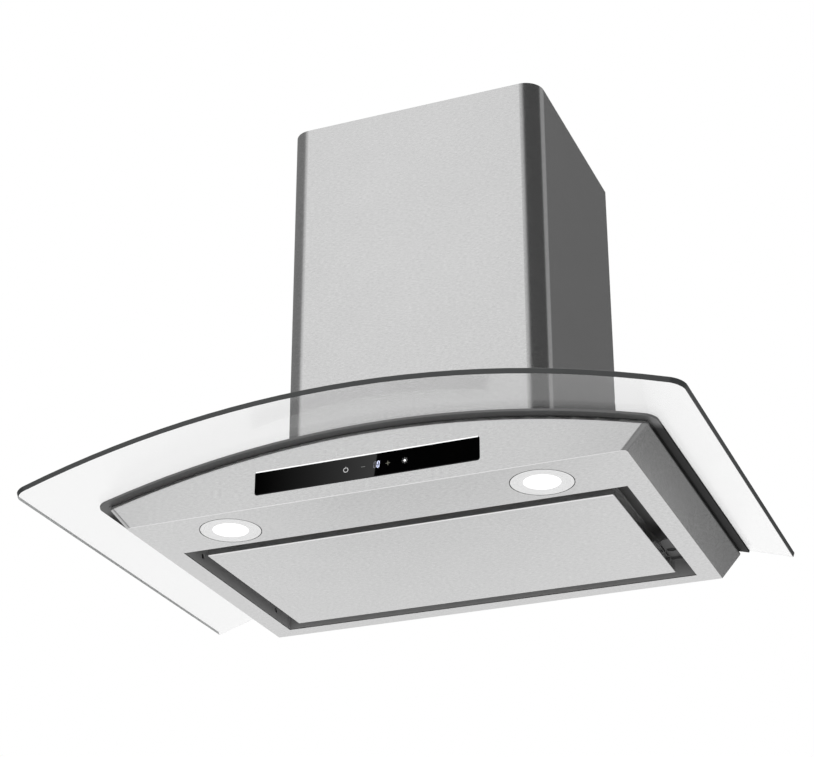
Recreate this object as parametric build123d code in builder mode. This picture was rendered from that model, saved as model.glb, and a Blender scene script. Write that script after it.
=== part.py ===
from build123d import *
import os
from math import asin, cos, radians, sin, sqrt

os.makedirs("parts", exist_ok=True)

# A wall-mounted range hood with a bent glass canopy. Millimetres, +Z up, +Y towards the wall.
# The origin is the middle of the footprint, at the height of the canopy's flat underside.

# Glass canopy: one plate, bent about an axis that runs from front to back
glass_width = 750.0
glass_depth = 498.0
glass_thick = 6.0
glass_corner = 14.0
glass_arris = 0.5
glass_hole_radius = 4.5
arch_radius = 1180.0
arch_crown = 75.0
wall_gap = 18.0
notch_clear = 8.0
notch_corner = 10.0

# Sheet steel canopy body under the glass
body_margin = 25.0
body_depth = 400.0
body_flare = 26.0
body_bend = 5.0
body_side_bend = 3.0
body_crease = 0.8
sheet = 1.0
return_flange = 26.0
back_flange = 12.0
top_plate_margin = 8.0
body_gap = 0.3
running_gap = 0.05

# Black seat between the body and the glass
seat_thick = 2.5
seat_lip = 9.0
seat_land = 0.6
seat_inset = 1.5
seat_band = 24.0
seat_corner = 12.0

# Screws, nuts and washers
glass_screw_margin = 13.0
glass_screw_front = 62.0
glass_screw_back = 60.0
screw_radius = 2.5
screw_clear = 0.3
screw_head_radius = 5.0
screw_head_height = 3.0
screw_arris = 0.6
screw_tip = 1.0
nut_radius = 4.6
nut_height = 4.0
washer_radius = 9.0
washer_thick = 1.5
seat_slack = 0.05

# Suction opening in the underside, and the tray that lines it
opening_width = 525.0
opening_depth = 287.5
opening_back_margin = 22.0
tray_wall = 0.8
tray_depth = 34.0
tray_rim = 5.0
tray_hole_radius = 3.0
tray_hole_height = 12.8
tray_hole_front = 46.5
tray_hole_back = 41.3
stay_length = 60.0
stay_width = 19.5
stay_height = 12.0
stay_leg = 12.0
stay_lip = 3.0
stay_corner = 12.0
stay_back = 38.0
stay_hole_radius = 5.5
stay_hole_inset = 12.5
stay_hole_back = 26.0

# Suction panel, flush with the underside, and its hinges and magnets
panel_width = 484.0
panel_depth = 251.0
panel_back_gap = 17.8
panel_flange = 15.0
panel_bend = 1.5
hinge_setback = 6.2
hinge_height = 17.0
hinge_spread = 340.0
hinge_half = 7.0
hinge_side_gap = 1.0
hinge_knuckle_length = 6.0
hinge_knuckle_radius = 4.0
hinge_pin_radius = 2.0
hinge_arm = 3.0
hinge_foot = 10.0
hinge_leaf = 1.5
leaf_low = 3.0
magnet_length = 30.0
magnet_width = 10.0
magnet_height = 8.0
magnet_inset = 42.5
magnet_holder_wall = 2.0
magnet_clear = 1.0
magnet_proud = 2.0
striker_thick = 1.0
striker_depth = 13.0
striker_leg = 7.0

# Grease filters, their rails and latches
filter_width = 196.0
filter_depth = 228.0
filter_thick = 9.0
filter_border = 12.0
filter_latch_border = 22.0
filter_corner = 3.0
filter_pitch = 200.0
filter_front_margin = 19.5
filter_ledge = 8.0
mesh_thick = 3.0
mesh_pitch = 13.6
mesh_hole = 8.4
latch_width = 24.0
latch_length = 12.0
latch_thick = 3.6
latch_tongue = 16.0
latch_reach = 5.5
latch_travel = 5.5
latch_knob_width = 9.0
latch_knob_length = 5.0
latch_knob_drop = 3.0
pocket_floor = 1.1
pocket_wall = 2.0
keeper_gap = 1.5
keeper_clear = 2.0
rail_clear = 2.0
rail_lip = 8.0

# Downlights
lamp_spread = 364.0
lamp_front_margin = 48.0
lamp_rim_radius = 34.7
lamp_recess = 1.0
rim_arris = 0.4
lamp_lens_radius = 20.6
lens_thick = 2.0
lens_setback = 0.6
lens_ledge = 1.4
lamp_neck_radius = 30.5
lamp_neck_height = 8.0
lamp_neck_wall = 1.5
lamp_housing_height = 15.0
lamp_fin_base = 3.0
lamp_fin_count = 16
lamp_fin_slot = 2.5
lamp_fin_depth = 6.0
board_thick = 1.6
clip_clear = 1.0
clip_rise = 4.0
clip_thick = 1.0
clip_width = 8.0

# Touch control and the electrics behind it
touch_width = 260.0
touch_height = 27.4
touch_corner = 3.0
touch_centre = 28.7
touch_glass_thick = 3.0
touch_proud = 0.8
touch_arris = 0.3
touch_overlap = 2.5
touch_pad_gap = 4.0
carrier_wall = 2.5
carrier_depth = 13.0
carrier_ledge = 2.0
display_x = 13.5
display_width = 24.0
display_height = 12.0
ribbon_width = 20.0
ribbon_thick = 0.6
control_gap = 6.0
control_length = 110.0
control_depth = 58.0
control_height = 44.0
control_wall = 2.0
control_corner = 4.0
driver_gap = 7.0
driver_length = 76.0
driver_depth = 40.0
driver_height = 22.0
lead_radius = 1.8
lead_height = 16.0

# Blower frame and blower box
box_width = 280.0
box_depth = 220.0
box_height = 233.0
box_sheet = 1.0
box_back_gap = 28.0
box_flange = 24.0
box_screw_margin = 17.0
frame_height = 97.0
frame_wall = 1.5
frame_inset = 8.0
frame_foot = 5.0

# Volute, motor and wheel; the shaft lies along X
fan_height = 205.0
scroll_step = 7.0
scroll_radius = 86.0
tongue_angle = 65.0
volute_half = 58.0
volute_wall = 1.5
outlet_shift = 10.0
outlet_slope = 39.0
outlet_margin = 1.8
outlet_flange = 14.0
inlet_radius = 62.0
inlet_lip = 2.5
motor_radius = 42.0
motor_length = 54.0
motor_round = 4.0
motor_cap_radius = 20.0
motor_front_gap = 9.0
shaft_radius = 4.0
shaft_depth = 40.0
shaft_end_gap = 0.5
arm_radius = 74.0
arm_width = 12.0
arm_thick = 2.0
arm_count = 3
bush_radius = 5.5
bush_height = 4.0
wheel_radius = 75.0
wheel_width = 104.0
wheel_blades = 36
wheel_ring = 2.0
wheel_disc = 2.0
wheel_disc_x = 5.0
blade_depth = 13.0
blade_thick = 1.2
blade_lean = 28.0
hub_radius = 12.0
hub_length = 22.0
hub_setback = 6.0
wheel_nut_radius = 6.5
wheel_nut_height = 5.0

# Outlet collar with two back-draught flaps
collar_radius = 74.8
collar_wall = 1.0
collar_height = 62.0
collar_flange = 13.0
collar_foot = 1.5
collar_screw_radius = 81.0
collar_head_radius = 4.0
collar_head_height = 2.2
collar_screw_length = 9.0
spindle_height = 35.0
spindle_radius = 2.0
flap_clear = 1.5
flap_thick = 0.8
flap_edge = 0.6
flap_notch = 0.8
flap_loop_wall = 1.35
flap_loop_length = 10.0
flap_loop_near = 20.0
flap_loop_far = 35.0

# Capacitor and terminal box on the blower box
top_row_inset = 18.0
terminal_edge = 75.0
terminal_length = 70.0
terminal_depth = 30.0
terminal_height = 35.0
gland_radius = 8.0
gland_taper = 1.5
gland_bore = 4.0
gland_height = 14.0
capacitor_radius = 14.0
capacitor_length = 60.0
capacitor_clip = 1.0
capacitor_clip_width = 14.0

# Wall fixing
rail_width = 260.0
rail_low = 240.0
rail_plate = 60.0
rail_arm = 12.0
rail_hook = 16.0
rail_sheet = 2.0
hanger_clear = 2.0
hanger_plate = 46.0
hanger_inset = 12.0
wall_hole_radius = 4.0
wall_hole_spacing = 200.0
bumper_radius = 9.0
bumper_spread = 480.0
bumper_height = 20.0

# Chimney cover and its sliding extension
chimney_width = 328.0
chimney_depth = 282.5
chimney_top = 568.0
chimney_corner = 24.0
chimney_return = 25.0
chimney_sheet = 1.0
chimney_foot_gap = 0.3
cover_bracket_rise = 8.0
cover_bracket_height = 20.0
cover_bracket_depth = 40.0
bracket_sheet = 1.5
sleeve_clear = 1.2
sleeve_back_gap = 0.5
sleeve_sheet = 0.8
sleeve_bottom = 140.0
sleeve_top = 562.0
strap_height = 26.0
strap_drop = 6.0
strap_sheet = 1.5
strap_bend = 4.0
strap_hole_spacing = 200.0

# Places that follow from the sizes above
wall_y = (glass_depth + wall_gap) / 2
back_y = wall_y - wall_gap
glass_front_y = back_y - glass_depth
body_front_y = back_y - body_depth
arch_axis_z = arch_crown - arch_radius
body_width = opening_width + 2 * body_margin
shoulder = body_width / 2 + body_flare
body_arch = arch_radius - seat_thick - seat_land
plate_arch = body_arch - sheet
opening_back_y = back_y - opening_back_margin
opening_front_y = opening_back_y - opening_depth
opening_y = (opening_back_y + opening_front_y) / 2
panel_back_y = opening_back_y - panel_back_gap
panel_front_y = panel_back_y - panel_depth
panel_y = panel_back_y - panel_depth / 2
hinge_y = panel_back_y - hinge_setback
lamp_y = body_front_y + lamp_front_margin
box_back_y = wall_y - box_back_gap
box_y = box_back_y - box_depth / 2
box_top = frame_height + box_height


def arch_height(x, radius):
    """Height at x of a surface bent to this radius about the canopy's arch axis."""
    return arch_axis_z + sqrt(radius**2 - x**2)


def front_plane(y):
    """Upright plane at y, seen from the front; a positive extrusion comes forwards."""
    return Plane.XZ.offset(-y)


def side_plane(x):
    """Upright plane at x, seen from the right; a positive extrusion goes to the right."""
    return Plane.YZ.offset(x)


def arch_plane(x, y, radius):
    """Plane that touches the arched surface of this radius at x, y."""
    lean = asin(x / radius)
    return Plane(
        origin=(x, y, arch_height(x, radius)),
        x_dir=(cos(lean), 0, -sin(lean)),
        z_dir=(sin(lean), 0, cos(lean)),
    )


def save(piece, name):
    """Label a finished piece and write it."""
    piece.part.label = name
    export_step(piece.part, f"parts/{name}.step")


def arched_sheet(front, back, inner_radius, outer_radius, half_width):
    """Plate bent about the arch axis, its side edges cut square to its face."""
    inner_half = half_width * inner_radius / outer_radius
    with BuildPart() as bent:
        with BuildSketch(front_plane(back)):
            with BuildLine():
                upper = ThreePointArc(
                    (-half_width, arch_height(half_width, outer_radius)),
                    (0, arch_height(0, outer_radius)),
                    (half_width, arch_height(half_width, outer_radius)),
                )
                lower = ThreePointArc(
                    (-inner_half, arch_height(inner_half, inner_radius)),
                    (0, arch_height(0, inner_radius)),
                    (inner_half, arch_height(inner_half, inner_radius)),
                )
                Line(upper @ 0, lower @ 0)
                Line(upper @ 1, lower @ 1)
            make_face()
        extrude(amount=back - front)
    return bent.part


def arch_block(radius):
    """Everything under the arched surface of this radius, to trim what stands on it."""
    with BuildPart() as block:
        with BuildSketch(front_plane(wall_y + wall_gap)):
            with Locations((0, arch_axis_z)):
                Circle(radius)
        extrude(amount=glass_depth + 2 * wall_gap)
    return block.part


def canopy_form(inset):
    """Canopy body as a solid: flat bottom, flared sides, arched top with rounded edges."""
    with BuildPart() as form:
        with BuildSketch(front_plane(back_y - inset)):
            with BuildLine():
                top = ThreePointArc(
                    (-shoulder, arch_height(shoulder, body_arch)),
                    (0, arch_height(0, body_arch)),
                    (shoulder, arch_height(shoulder, body_arch)),
                )
                Polyline(top @ 1, (body_width / 2, 0), (-body_width / 2, 0), top @ 0)
            make_face()
            if inset:
                offset(amount=-inset)
        extrude(amount=body_depth - 2 * inset)
        fillet(form.edges().filter_by(Axis.Y).group_by(Axis.Z)[-1], body_side_bend - inset)
        top_edges = form.edges().filter_by(lambda edge: edge.geom_type != GeomType.LINE)
        fillet(top_edges.group_by(Axis.Y)[0].sort_by(Axis.Z)[-1], body_bend - inset)
    return form.part


# Canopy body: one folded and welded shell of brushed steel, open where the blower frame, the
# suction tray, the lamps and the touch control go.
lamp_places = [(-lamp_spread / 2, lamp_y), (lamp_spread / 2, lamp_y)]
screw_x = shoulder - glass_screw_margin
screw_grip = glass_thick + seat_thick + seat_land + 2 * sheet
screw_seats = [
    arch_plane(side * screw_x, y, arch_radius + glass_thick)
    for side in (-1, 1)
    for y in (body_front_y + glass_screw_front, back_y - glass_screw_back)
]
return_base = arch_height(shoulder - return_flange, body_arch) - 2 * sheet
return_front_y = body_front_y + return_flange
return_back_y = back_y - back_flange
body_outside = canopy_form(0)
body_inside = canopy_form(sheet)

with BuildPart() as canopy_body:
    add(body_outside)
    fillet(canopy_body.edges().group_by(Axis.Z)[0], body_crease)
    add(body_inside, mode=Mode.SUBTRACT)
    with BuildSketch(Plane.XY):
        with Locations(*lamp_places):
            Circle(lamp_rim_radius + body_gap + sheet)
    extrude(amount=lamp_recess + sheet)
    with BuildSketch(Plane.XY):
        with Locations(*lamp_places):
            Circle(lamp_rim_radius + body_gap)
    extrude(amount=lamp_recess, mode=Mode.SUBTRACT)
    with BuildSketch(Plane.XY):
        with Locations(*lamp_places):
            Circle(lamp_neck_radius + body_gap)
        with Locations((0, opening_y)):
            Rectangle(opening_width, opening_depth)
    extrude(amount=lamp_recess + sheet, mode=Mode.SUBTRACT)
    with BuildSketch(Plane.XY.offset(return_base)):
        with Locations((0, (return_front_y + return_back_y) / 2)):
            Rectangle(2 * (shoulder - return_flange), return_back_y - return_front_y)
    extrude(amount=arch_crown, mode=Mode.SUBTRACT)
    with BuildSketch(front_plane(body_front_y + sheet)):
        with Locations((0, touch_centre)):
            RectangleRounded(
                touch_width + 2 * body_gap, touch_height + 2 * body_gap, touch_corner + body_gap
            )
    extrude(amount=sheet, mode=Mode.SUBTRACT)
    with BuildSketch(*screw_seats):
        Circle(screw_radius + screw_clear)
    extrude(amount=-screw_grip, mode=Mode.SUBTRACT)
save(canopy_body, "canopy_body")

# Top plate: bent like the glass, spot-welded under the return flange, open under the blower.
frame_width = box_width - 2 * frame_inset
frame_depth = box_depth - 2 * frame_inset
top_plate_blank = arched_sheet(
    body_front_y + top_plate_margin,
    back_y - top_plate_margin,
    plate_arch - sheet,
    plate_arch,
    shoulder - top_plate_margin,
)

with BuildPart() as canopy_top_plate:
    add(top_plate_blank)
    with BuildSketch(Plane.XY):
        with Locations((0, box_y)):
            Rectangle(frame_width - 2 * frame_foot, frame_depth - 2 * frame_foot)
    extrude(amount=arch_crown, mode=Mode.SUBTRACT)
    with BuildSketch(*screw_seats):
        Circle(screw_radius + screw_clear)
    extrude(amount=-screw_grip - sheet, mode=Mode.SUBTRACT)
save(canopy_top_plate, "canopy_top_plate")

# Black seat: a thin glossy frame that carries the glass and stands out past the body on three
# sides. A narrower land under it leaves a shadow gap over the body.
seat_blank = arched_sheet(
    body_front_y - seat_lip, back_y, arch_radius - seat_thick, arch_radius, shoulder + seat_lip
)
land_blank = arched_sheet(
    body_front_y + seat_inset, back_y - seat_inset, body_arch, body_arch + seat_land, shoulder - seat_inset
)

with BuildPart() as glass_seat:
    add(seat_blank)
    fillet(glass_seat.edges().filter_by(GeomType.LINE).group_by(Axis.Y)[0], seat_corner)
    add(land_blank)
    with BuildSketch(Plane.XY):
        with Locations((0, (body_front_y + seat_band + return_back_y) / 2)):
            Rectangle(2 * (shoulder - seat_band), return_back_y - body_front_y - seat_band)
    extrude(amount=arch_crown, mode=Mode.SUBTRACT)
    with BuildSketch(*screw_seats):
        Circle(screw_radius + screw_clear)
    extrude(amount=-screw_grip, mode=Mode.SUBTRACT)
save(glass_seat, "glass_seat")

# Glass canopy: bent toughened plate with polished edges, round front corners, a notch that is
# open to the back for the blower frame, and four screw holes.
glass_blank = arched_sheet(glass_front_y, back_y, arch_radius, arch_radius + glass_thick, glass_width / 2)
notch_front_y = box_back_y - box_depth + frame_inset - notch_clear

with BuildPart() as glass_canopy:
    add(glass_blank)
    fillet(glass_canopy.edges().filter_by(GeomType.LINE).group_by(Axis.Y)[0], glass_corner)
    with BuildSketch(Plane.XY) as notch:
        with Locations((0, (notch_front_y + wall_y) / 2)):
            Rectangle(frame_width + 2 * notch_clear, wall_y - notch_front_y)
        fillet(notch.vertices().group_by(Axis.Y)[0], notch_corner)
    extrude(amount=arch_crown + 2 * glass_thick, mode=Mode.SUBTRACT)
    with BuildSketch(*screw_seats):
        Circle(glass_hole_radius)
    extrude(amount=2 * glass_thick, both=True, mode=Mode.SUBTRACT)
    curved = glass_canopy.faces().filter_by(GeomType.CYLINDER).sort_by(SortBy.AREA)[-2:]
    chamfer(curved[0].outer_wire().edges() + curved[1].outer_wire().edges(), glass_arris)
save(glass_canopy, "glass_canopy")

# Glass fixings: rubber washers with a sleeve in each hole, and screws with their nuts.
with BuildPart() as glass_washers:
    with BuildSketch(*screw_seats):
        Circle(washer_radius)
    extrude(amount=washer_thick)
    with BuildSketch(*screw_seats):
        Circle(glass_hole_radius - body_gap)
    extrude(amount=body_gap - glass_thick)
    with BuildSketch(*screw_seats):
        Circle(screw_radius)
    extrude(amount=glass_thick, both=True, mode=Mode.SUBTRACT)
save(glass_washers, "glass_washers")

screw_tops = [seat.offset(washer_thick) for seat in screw_seats]
nut_tops = [seat.offset(-screw_grip - seat_slack) for seat in screw_seats]

with BuildPart() as glass_screws:
    with BuildSketch(*screw_tops):
        Circle(screw_head_radius)
    extrude(amount=screw_head_height)
    chamfer(glass_screws.faces().sort_by(Axis.Z)[-1].edges(), screw_arris)
    with BuildSketch(*screw_tops):
        Circle(screw_radius)
    extrude(amount=-(washer_thick + screw_grip + nut_height + screw_tip))
save(glass_screws, "glass_screws")

with BuildPart() as glass_nuts:
    with BuildSketch(*nut_tops):
        RegularPolygon(nut_radius, 6)
        Circle(screw_radius, mode=Mode.SUBTRACT)
    extrude(amount=-nut_height)
save(glass_nuts, "glass_nuts")

# Intake tray: lines the suction opening, closes it above and carries the grease filters. Its
# ceiling has one hole for each filter, and its left wall two wiring holes.
filter_x = filter_pitch / 2
filter_front_y = opening_front_y + filter_front_margin
filter_y = filter_front_y + filter_depth / 2
filter_back_y = filter_front_y + filter_depth
filter_top = tray_depth - body_gap
filter_low = filter_top - filter_thick
filter_places = [(-filter_x, filter_y), (filter_x, filter_y)]
latch_low = filter_low + pocket_floor + body_gap
keeper_y = filter_front_y - latch_reach - keeper_gap
keeper_top = latch_low - body_gap
rear_rail_y = filter_back_y + rail_clear
rear_rail_top = filter_low - body_gap

with BuildPart() as intake_tray:
    with BuildSketch(Plane.XY.offset(sheet)):
        with Locations((0, opening_y)):
            Rectangle(opening_width + 2 * tray_rim, opening_depth + 2 * tray_rim)
    extrude(amount=tray_wall)
    with BuildSketch(Plane.XY.offset(sheet)):
        with Locations((0, opening_y)):
            Rectangle(opening_width + 2 * tray_wall, opening_depth + 2 * tray_wall)
    extrude(amount=tray_depth + tray_wall - sheet)
    with BuildSketch(Plane.XY.offset(sheet)):
        with Locations((0, opening_y)):
            Rectangle(opening_width, opening_depth)
    extrude(amount=tray_depth - sheet, mode=Mode.SUBTRACT)
    with BuildSketch(Plane.XY.offset(tray_depth)):
        with Locations(*filter_places):
            Rectangle(filter_width - 2 * filter_ledge, filter_depth - 2 * filter_ledge)
    extrude(amount=tray_wall, mode=Mode.SUBTRACT)
    with BuildSketch(side_plane(-opening_width / 2)):
        with Locations(
            (opening_front_y + tray_hole_front, tray_hole_height),
            (opening_back_y - tray_hole_back, tray_hole_height),
        ):
            Circle(tray_hole_radius)
    extrude(amount=-tray_wall, mode=Mode.SUBTRACT)
    with BuildSketch(side_plane(-filter_x), side_plane(filter_x)):
        with BuildLine():
            Polyline(
                (keeper_y - sheet, tray_depth),
                (keeper_y - sheet, keeper_top - sheet),
                (filter_front_y - keeper_clear, keeper_top - sheet),
                (filter_front_y - keeper_clear, keeper_top),
                (keeper_y, keeper_top),
                (keeper_y, tray_depth),
                close=True,
            )
        make_face()
    extrude(amount=latch_width / 2, both=True)
    with BuildSketch(side_plane(0)):
        with BuildLine():
            Polyline(
                (rear_rail_y + sheet, tray_depth),
                (rear_rail_y + sheet, rear_rail_top - sheet),
                (rear_rail_y - rail_lip, rear_rail_top - sheet),
                (rear_rail_y - rail_lip, rear_rail_top),
                (rear_rail_y, rear_rail_top),
                (rear_rail_y, tray_depth),
                close=True,
            )
        make_face()
    extrude(amount=(filter_pitch + filter_width) / 2 - filter_ledge, both=True)
save(intake_tray, "intake_tray")

# Stay bracket: a small folded tab on the tray's right wall, with a hole.
stay_back_y = opening_back_y - stay_back
stay_y = stay_back_y - stay_length / 2
stay_x = opening_width / 2 - stay_width / 2

with BuildPart() as stay_bracket:
    with BuildSketch(Plane.XY.offset(stay_height)) as stay_plan:
        with Locations((stay_x, stay_y)):
            Rectangle(stay_width, stay_length)
        fillet(stay_plan.vertices().group_by(Axis.Y)[0].sort_by(Axis.X)[0], stay_corner)
        with Locations((opening_width / 2 - stay_hole_inset, stay_back_y - stay_hole_back)):
            Circle(stay_hole_radius, mode=Mode.SUBTRACT)
    extrude(amount=-sheet)
    with BuildSketch(Plane.XY.offset(stay_height)):
        with Locations((opening_width / 2 - sheet / 2, stay_y)):
            Rectangle(sheet, stay_length)
    extrude(amount=stay_leg)
    with BuildSketch(Plane.XY.offset(stay_height - sheet)):
        with Locations((stay_x, stay_back_y - sheet / 2)):
            Rectangle(stay_width, sheet)
    extrude(amount=-stay_lip)
save(stay_bracket, "stay_bracket")

# Grease filters: an aluminium frame round a perforated pad. The front border of each holds a
# sliding latch, the back edge lies on the tray's rear rail.
pocket_front_y = filter_front_y + pocket_wall
pocket_length = latch_length + latch_travel + 2 * body_gap
mesh_width = filter_width - 2 * filter_border
mesh_depth = filter_depth - filter_border - filter_latch_border
mesh_y = filter_back_y - filter_border - mesh_depth / 2
mesh_columns = int(mesh_width // mesh_pitch)
mesh_rows = int(mesh_depth // mesh_pitch)

with BuildPart() as filter_frame_right:
    with BuildSketch(Plane.XY.offset(filter_low)):
        with Locations((filter_x, filter_y)):
            RectangleRounded(filter_width, filter_depth, filter_corner)
        with Locations((filter_x, mesh_y)):
            Rectangle(mesh_width, mesh_depth, mode=Mode.SUBTRACT)
    extrude(amount=filter_thick)
    with BuildSketch(Plane.XY.offset(latch_low - body_gap)):
        with Locations((filter_x, pocket_front_y + pocket_length / 2)):
            Rectangle(latch_width + 2 * body_gap, pocket_length)
        with Locations((filter_x, filter_front_y + pocket_wall / 2)):
            Rectangle(latch_tongue + 2 * body_gap, pocket_wall)
    extrude(amount=latch_thick + 2 * body_gap, mode=Mode.SUBTRACT)
    with BuildSketch(Plane.XY.offset(filter_low)):
        with Locations((filter_x, pocket_front_y + pocket_length / 2)):
            Rectangle(latch_knob_width + 2 * body_gap, latch_knob_length + latch_travel + 2 * body_gap)
    extrude(amount=pocket_floor, mode=Mode.SUBTRACT)
save(filter_frame_right, "filter_frame_right")

with BuildPart() as filter_frame_left:
    mirror(filter_frame_right.part, about=Plane.YZ)
save(filter_frame_left, "filter_frame_left")

with BuildPart() as filter_meshes:
    with BuildSketch(Plane.XY.offset(filter_low + (filter_thick - mesh_thick) / 2)):
        with Locations((-filter_x, mesh_y), (filter_x, mesh_y)):
            Rectangle(mesh_width, mesh_depth)
            with GridLocations(mesh_pitch, mesh_pitch, mesh_columns, mesh_rows):
                Rectangle(mesh_hole, mesh_hole, rotation=45, mode=Mode.SUBTRACT)
    extrude(amount=mesh_thick)
save(filter_meshes, "filter_meshes")

# Filter latches: a sprung slide with a finger knob below and a tongue that rests on the keeper.
latch_front_y = pocket_front_y + body_gap
knob_y = pocket_front_y + pocket_length / 2 - latch_travel / 2

with BuildPart() as filter_latch_right:
    with BuildSketch(Plane.XY.offset(latch_low)):
        with Locations((filter_x, latch_front_y + latch_length / 2)):
            Rectangle(latch_width, latch_length)
        with Locations((filter_x, (filter_front_y - latch_reach + latch_front_y) / 2)):
            Rectangle(latch_tongue, latch_front_y - filter_front_y + latch_reach)
    extrude(amount=latch_thick)
    with BuildSketch(Plane.XY.offset(latch_low)):
        with Locations((filter_x, knob_y)):
            Rectangle(latch_knob_width, latch_knob_length)
    extrude(amount=-(pocket_floor + body_gap + latch_knob_drop))
save(filter_latch_right, "filter_latch_right")

with BuildPart() as filter_latch_left:
    mirror(filter_latch_right.part, about=Plane.YZ)
save(filter_latch_left, "filter_latch_left")

# Panel hinges: two fixed arms under the tray's ceiling, each between two knuckles of the panel.
hinge_planes = [side_plane(-hinge_spread / 2), side_plane(hinge_spread / 2)]
arm_back_y = hinge_y - hinge_knuckle_radius + hinge_arm

with BuildPart() as panel_hinge_arms:
    with BuildSketch(*hinge_planes):
        with Locations((hinge_y, hinge_height)):
            Circle(hinge_knuckle_radius)
        with Locations((arm_back_y - hinge_arm / 2, (hinge_height + tray_depth) / 2)):
            Rectangle(hinge_arm, tray_depth - hinge_height)
        with Locations((arm_back_y - hinge_foot / 2, tray_depth - hinge_leaf / 2)):
            Rectangle(hinge_foot, hinge_leaf)
        with Locations((hinge_y, hinge_height)):
            Circle(hinge_pin_radius + running_gap, mode=Mode.SUBTRACT)
    extrude(amount=hinge_half, both=True)
save(panel_hinge_arms, "panel_hinge_arms")

# Magnets that hold the panel shut, in plastic holders under the tray's ceiling.
magnet_y = panel_front_y + sheet + magnet_clear + magnet_width / 2 + magnet_holder_wall
magnet_low = panel_flange + body_gap
magnet_x = opening_width / 2 - magnet_inset
magnet_places = [(-magnet_x, magnet_y), (magnet_x, magnet_y)]

with BuildPart() as magnet_brackets:
    with BuildSketch(Plane.XY.offset(magnet_low + magnet_proud)):
        with Locations(*magnet_places):
            Rectangle(magnet_length + 2 * magnet_holder_wall, magnet_width + 2 * magnet_holder_wall)
    extrude(amount=tray_depth - magnet_low - magnet_proud)
    with BuildSketch(Plane.XY.offset(magnet_low)):
        with Locations(*magnet_places):
            Rectangle(magnet_length, magnet_width)
    extrude(amount=magnet_height, mode=Mode.SUBTRACT)
save(magnet_brackets, "magnet_brackets")

with BuildPart() as panel_magnets:
    with BuildSketch(Plane.XY.offset(magnet_low)):
        with Locations(*magnet_places):
            Rectangle(magnet_length, magnet_width)
    extrude(amount=magnet_height)
save(panel_magnets, "panel_magnets")

# Suction panel: a folded steel tray that hangs from the hinges and closes most of the opening.
with BuildPart() as suction_panel:
    with BuildSketch(Plane.XY):
        with Locations((0, panel_y)):
            Rectangle(panel_width, panel_depth)
    extrude(amount=panel_flange)
    fillet(suction_panel.edges().filter_by(Axis.Z), panel_bend)
    fillet(suction_panel.edges().group_by(Axis.Z)[0], panel_bend)
    offset(amount=-sheet, openings=suction_panel.faces().sort_by(Axis.Z)[-1])
save(suction_panel, "suction_panel")

leaf_y = panel_back_y - sheet - hinge_leaf
leaf_plate_y = leaf_y + hinge_leaf / 2

with BuildPart() as panel_hinge_leaves:
    with BuildSketch(*hinge_planes):
        with Locations((hinge_y, hinge_height)):
            Circle(hinge_knuckle_radius)
        with Locations(((hinge_y + leaf_y + hinge_leaf) / 2, hinge_height)):
            Rectangle(leaf_y + hinge_leaf - hinge_y, 2 * hinge_knuckle_radius)
        with Locations((leaf_plate_y, (hinge_height + leaf_low) / 2)):
            Rectangle(hinge_leaf, hinge_height - leaf_low)
    extrude(amount=hinge_half + hinge_side_gap + hinge_knuckle_length, both=True)
    with BuildSketch(*hinge_planes):
        with Locations((hinge_y, hinge_height)):
            Rectangle(2 * panel_back_gap, 2 * (hinge_knuckle_radius + hinge_side_gap))
    extrude(amount=hinge_half + hinge_side_gap, both=True, mode=Mode.SUBTRACT)
    with BuildSketch(*hinge_planes):
        with Locations((hinge_y, hinge_height)):
            Circle(hinge_pin_radius)
    extrude(amount=panel_width, both=True, mode=Mode.SUBTRACT)
save(panel_hinge_leaves, "panel_hinge_leaves")

with BuildPart() as panel_hinge_pins:
    with BuildSketch(*hinge_planes):
        with Locations((hinge_y, hinge_height)):
            Circle(hinge_pin_radius)
    extrude(amount=hinge_half + hinge_side_gap + hinge_knuckle_length + hinge_side_gap, both=True)
save(panel_hinge_pins, "panel_hinge_pins")

striker_length = magnet_length + 2 * magnet_holder_wall
striker_front_y = panel_front_y + sheet

with BuildPart() as panel_strikers:
    with BuildSketch(Plane.XY.offset(panel_flange)):
        with Locations(*[(place[0], striker_front_y + striker_depth / 2) for place in magnet_places]):
            Rectangle(striker_length, striker_depth)
    extrude(amount=-striker_thick)
    with BuildSketch(Plane.XY.offset(panel_flange)):
        with Locations(*[(place[0], striker_front_y + striker_thick / 2) for place in magnet_places]):
            Rectangle(striker_length, striker_thick)
    extrude(amount=-striker_leg)
save(panel_strikers, "panel_strikers")

# Downlights: a flush rim with a neck, a frosted lens set back in it, a board and a finned housing.
ledge_height = lens_setback + lens_thick
neck_top = lamp_recess + lamp_neck_height

with BuildPart() as lamp_rims:
    with BuildSketch(Plane.XY):
        with Locations(*lamp_places):
            Circle(lamp_rim_radius)
    extrude(amount=lamp_recess)
    chamfer(lamp_rims.edges().group_by(Axis.Z)[0], rim_arris)
    with BuildSketch(Plane.XY.offset(lamp_recess)):
        with Locations(*lamp_places):
            Circle(lamp_neck_radius)
            Circle(lamp_neck_radius - lamp_neck_wall, mode=Mode.SUBTRACT)
            Circle(lamp_lens_radius + lamp_neck_wall)
    extrude(amount=ledge_height)
    with BuildSketch(Plane.XY.offset(lamp_recess)):
        with Locations(*lamp_places):
            Circle(lamp_neck_radius)
            Circle(lamp_neck_radius - lamp_neck_wall, mode=Mode.SUBTRACT)
    extrude(amount=lamp_neck_height)
    with BuildSketch(Plane.XY):
        with Locations(*lamp_places):
            Circle(lamp_lens_radius + running_gap)
    extrude(amount=ledge_height, mode=Mode.SUBTRACT)
    with BuildSketch(Plane.XY):
        with Locations(*lamp_places):
            Circle(lamp_lens_radius - lens_ledge)
    extrude(amount=neck_top, mode=Mode.SUBTRACT)
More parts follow.
